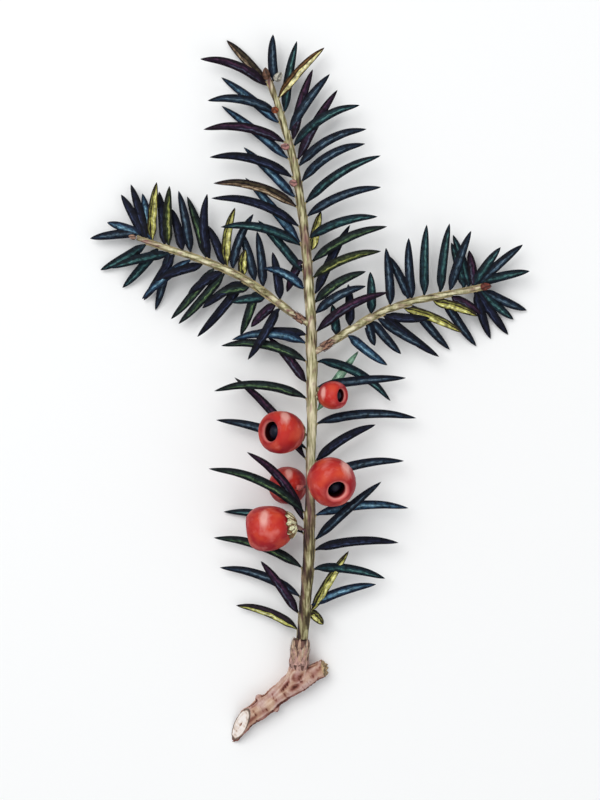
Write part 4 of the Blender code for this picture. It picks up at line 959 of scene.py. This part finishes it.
# Bark relief along each point's normal: long furrows along the wood, short cracks across it, and soft swellings. tone
# is low in the cracks, and painted shade lowers it on the side facing shadeFrom and on the knobs. mauve is where the
# bark is rose rather than tan.
def makeOldWood():
    mesh = fusedWood()
    points = np.array([corner.co for corner in mesh.vertices])
    normals = np.array([corner.vector for corner in mesh.vertex_normals])
    axis = unit(np.array(oldWood["grainAxis"]))
    along = np.outer(points @ axis, axis)
    furrows = 1 - np.abs(hills(points - along * 0.8, 1.8 * mm, 91))
    cracks = np.clip(1 - 4 * np.abs(hills(points + along * 1.5, 2.6 * mm, 92)), 0, 1)
    cracks = cracks * eased(hills(points, 2.2 * mm, 93), 0.0, 0.5)
    swell = hills(points, 3.2 * mm, 94)
    height = (0.14 * swell + 0.20 * furrows - 0.20 * cracks + 0.05 * hills(points, 0.7 * mm, 95) - 0.10) * mm
    # Painted shade: the side that faces shadeFrom, and each knob, are darkened.
    shade = eased(normals @ unit(np.array(oldWood["shadeFrom"])), 0.05, 0.95)
    for knob in oldWood["knobs"]:
        away = np.linalg.norm(points - np.array(knob[:3]) * mm, axis=1) / (knob[3] * mm)
        shade = shade + 0.3 * np.exp(-(away / 1.3) ** 4)
    points = points + normals * height[:, None]
    points[:, 2] = np.maximum(points[:, 2], oldWood["floor"])
    mesh.vertices.foreach_set("co", points.astype(np.float32).ravel())
    tone = 0.55 + 0.42 * (furrows - 0.7) + 0.10 * swell - 0.30 * cracks - 0.42 * shade
    keepTone(mesh, "tone", np.clip(tone, 0, 1))
    keepTone(mesh, "mauve", np.clip(0.5 + 0.6 * hills(points, 2.8 * mm, 96), 0, 1))
    trimEnds(mesh)
    piece = bpy.data.objects.new("old_wood_bark", mesh)
    dressed(piece, makeBarkLook(), ["old_wood"], 50)


# The tone runs from dark cracks to pale ridges in two bark colours, tan and rose, which mauve mixes.
def makeBarkLook():
    look, tree, shader = newMaterial("oldBark", 0.85, 0.4 * mm, 0.5, specular=0.2)
    value = addNode(tree, attributeNode(tree, "tone"), noiseNode(tree, 0.7 * mm, 5.0), 0.42)
    tan = rampNode(tree, value, [
        (0.30, (0.08, 0.022, 0.014)), (0.47, (0.24, 0.095, 0.060)), (0.62, (0.40, 0.215, 0.145)),
        (0.78, (0.53, 0.335, 0.235)), (0.96, (0.68, 0.50, 0.38))])
    rose = rampNode(tree, value, [
        (0.30, (0.09, 0.022, 0.018)), (0.47, (0.26, 0.095, 0.075)), (0.62, (0.40, 0.205, 0.175)),
        (0.78, (0.51, 0.32, 0.28)), (0.96, (0.64, 0.48, 0.42))])
    tree.links.new(mixNode(tree, attributeNode(tree, "mauve"), tan, rose), shader.inputs["Base Color"])
    return look


# The mesh is cut off along the slanting cut and the broken end, and both holes are filled.
def trimEnds(mesh):
    build = bmesh.new()
    build.from_mesh(mesh)
    for end in (cutEnd, stubEnd):
        everything = build.verts[:] + build.edges[:] + build.faces[:]
        bmesh.ops.bisect_plane(build, geom=everything, plane_co=Vector(end["centre"]) * mm,
                               plane_no=Vector(end["facing"]), clear_outer=True)
        bmesh.ops.holes_fill(build, edges=[edge for edge in build.edges if edge.is_boundary], sides=0)
    bmesh.ops.recalc_face_normals(build, faces=build.faces)
    build.to_mesh(mesh)
    build.free()


# A face on an end: the limb's round outline slid along the limb until it lies in the end's plane, drawn in ring by
# ring to its middle. Gives the points, each ring's share of the way out, and the plane's normal.
def endRings(end, rows=26, columns=72):
    route = smoothRoute(np.array(oldWood["limb"]) * mm, oldWood["rows"])
    side, face = lineFrame(route[:, :3])
    middle = np.array(end["centre"]) * mm
    normal = unit(np.array(end["facing"]))
    near = int(np.argmin(np.linalg.norm(route[:, :3] - middle, axis=1)))
    ahead = unit(np.gradient(route[:, :3], axis=0))[near]
    angle = turnsRound(columns)[:, None]
    skin = route[near, :3] + (side[near] * np.cos(angle) + face[near] * np.sin(angle)) * route[near, 3] * end["shrink"]
    skin = skin + ahead * ((middle - skin) @ normal / (ahead @ normal))[:, None]
    heart = skin.mean(0)
    reach = np.linspace(1 / rows, 1, rows)[:, None]
    return heart + (skin - heart)[None] * reach[..., None], reach, normal


# An end's rings raised along the normal by a height in millimetres. The far half of the rows repeats the rings deeper
# in the wood, so the piece is closed, and none lies under the surface that the sprig rests on.
def raisedEnd(end, rings, normal, height):
    grid = np.concatenate([rings + normal * (height * mm)[..., None], rings[::-1] - normal * end["depth"]], 0)
    grid[..., 2] = np.maximum(grid[..., 2], oldWood["floor"])
    return grid[None]


# The cut has fine year rings, a sunk pith and a dark rim, and the broken end has splinters that stand up unevenly.
def makeEnds():
    rings, reach, normal = endRings(cutEnd)
    years = 0.03 * np.sin(reach * 26 + 0.6 * hills(rings, 3 * mm, 101)) + 0.06 * hills(rings, 0.8 * mm, 102)
    pith = -0.3 * np.exp(-(reach / 0.1) ** 2)
    grid = raisedEnd(cutEnd, rings, normal, (0.16 + years + pith) * (1 - eased(reach, 0.97, 1.0)))
    tone = 0.60 + 2 * years - 0.75 * np.exp(-(reach / 0.13) ** 2) + 0.16 * hills(rings, 2.0 * mm, 103) \
        - 0.75 * eased(reach, 0.80, 0.98)
    tones = dict(tone=np.clip(np.concatenate([tone, tone[::-1] * 0], 0), 0, 1)[None])
    look, tree, shader = newMaterial("cutWood", 0.75, 0.3 * mm, 0.3)
    value = addNode(tree, attributeNode(tree, "tone"), noiseNode(tree, 0.8 * mm, 4.0), 0.3)
    wood = rampNode(tree, value, [
        (0.15, (0.12, 0.08, 0.06)), (0.4, (0.45, 0.33, 0.25)), (0.62, (0.80, 0.68, 0.60)), (0.85, (0.90, 0.83, 0.78))])
    tree.links.new(wood, shader.inputs["Base Color"])
    gridPiece("cut_face", grid, look, ["old_wood"], tones, 50)
    rings, reach, normal = endRings(stubEnd)
    splinters = np.abs(hills(rings, 0.9 * mm, 111)) * 0.55 + 0.2 * hills(rings, 2.2 * mm, 112)
    grid = raisedEnd(stubEnd, rings, normal, 0.25 + splinters * (1 - eased(reach, 0.9, 1.0)))
    look = mottledLook("brokenWood", (0.34, 0.24, 0.13), 0.8, grain=0.8 * mm, spread=0.75)
    gridPiece("broken_wood", grid, look, ["old_wood"])


# The studio: a camera straight above, a pale floor that the sprig lies on, and soft light from the upper left.
studio = dict(viewHeight=190.2 * mm, lens=100.0, sensor=36.0, focus=8 * mm, aim=(-2.3 * mm, -3.1 * mm),
              floor=(0.96, 0.96, 0.95), floorRoughness=0.9, floorSize=3.0, floorDrop=-0.02 * mm,
              world=(0.95, 0.97, 1.0), worldStrength=0.56)
lamps = {"key": dict(place=(-0.32, 0.36, 0.80), size=0.6, power=4.4),
         "fill": dict(place=(0.50, -0.45, 0.75), size=0.8, power=1.7)}


# The camera stands as far off as makes the view's height fill the frame at the focus.
def makeStudio():
    camera = bpy.data.objects.new("camera", bpy.data.cameras.new("camera"))
    camera.data.lens = studio["lens"]
    camera.data.sensor_width = studio["sensor"]
    camera.data.clip_start = 0.01
    distance = studio["viewHeight"] * studio["lens"] / studio["sensor"]
    camera.location = (*studio["aim"], studio["focus"] + distance)
    bpy.context.scene.collection.objects.link(camera)
    bpy.context.scene.camera = camera
    half = studio["floorSize"] / 2
    mesh = bpy.data.meshes.new("floor")
    mesh.from_pydata([(-half, -half, 0), (half, -half, 0), (half, half, 0), (-half, half, 0)], [], [(0, 1, 2, 3)])
    floor = bpy.data.objects.new("floor", mesh)
    floor.location.z = studio["floorDrop"]
    look = bpy.data.materials.new("paleFloor")
    look.use_nodes = True
    shader = look.node_tree.nodes["Principled BSDF"]
    shader.inputs["Base Color"].default_value = (*studio["floor"], 1)
    shader.inputs["Roughness"].default_value = studio["floorRoughness"]
    mesh.materials.append(look)
    bpy.context.scene.collection.objects.link(floor)
    for name, row in lamps.items():
        lamp = bpy.data.objects.new(name, bpy.data.lights.new(name, "AREA"))
        lamp.data.size = row["size"]
        lamp.data.energy = row["power"]
        lamp.location = row["place"]
        lamp.rotation_mode = "QUATERNION"
        lamp.rotation_quaternion = (-Vector(row["place"])).to_track_quat("-Z", "Y")
        bpy.context.scene.collection.objects.link(lamp)
    world = bpy.data.worlds.new("studio")
    world.use_nodes = True
    background = world.node_tree.nodes["Background"]
    background.inputs["Color"].default_value = (*studio["world"], 1)
    background.inputs["Strength"].default_value = studio["worldStrength"]
    bpy.context.scene.world = world
    bpy.context.scene.view_settings.view_transform = "Standard"


makeStudio()
print("studio made")
grownNeedles = growNeedles()
makeNeedles(grownNeedles)
makeLeafBases(grownNeedles)
print("needles grown:", len(grownNeedles))
stemLook = makeStemLook()
for name, row in stems.items():
    makeStem(name, row, stemLook)
print("stems made")
makeCollar()
makeJointScales()
makeBuds()
print("scales and buds made")
makeFruits()
print("fruits made")
makeOldWood()
makeEnds()
print("old wood made")
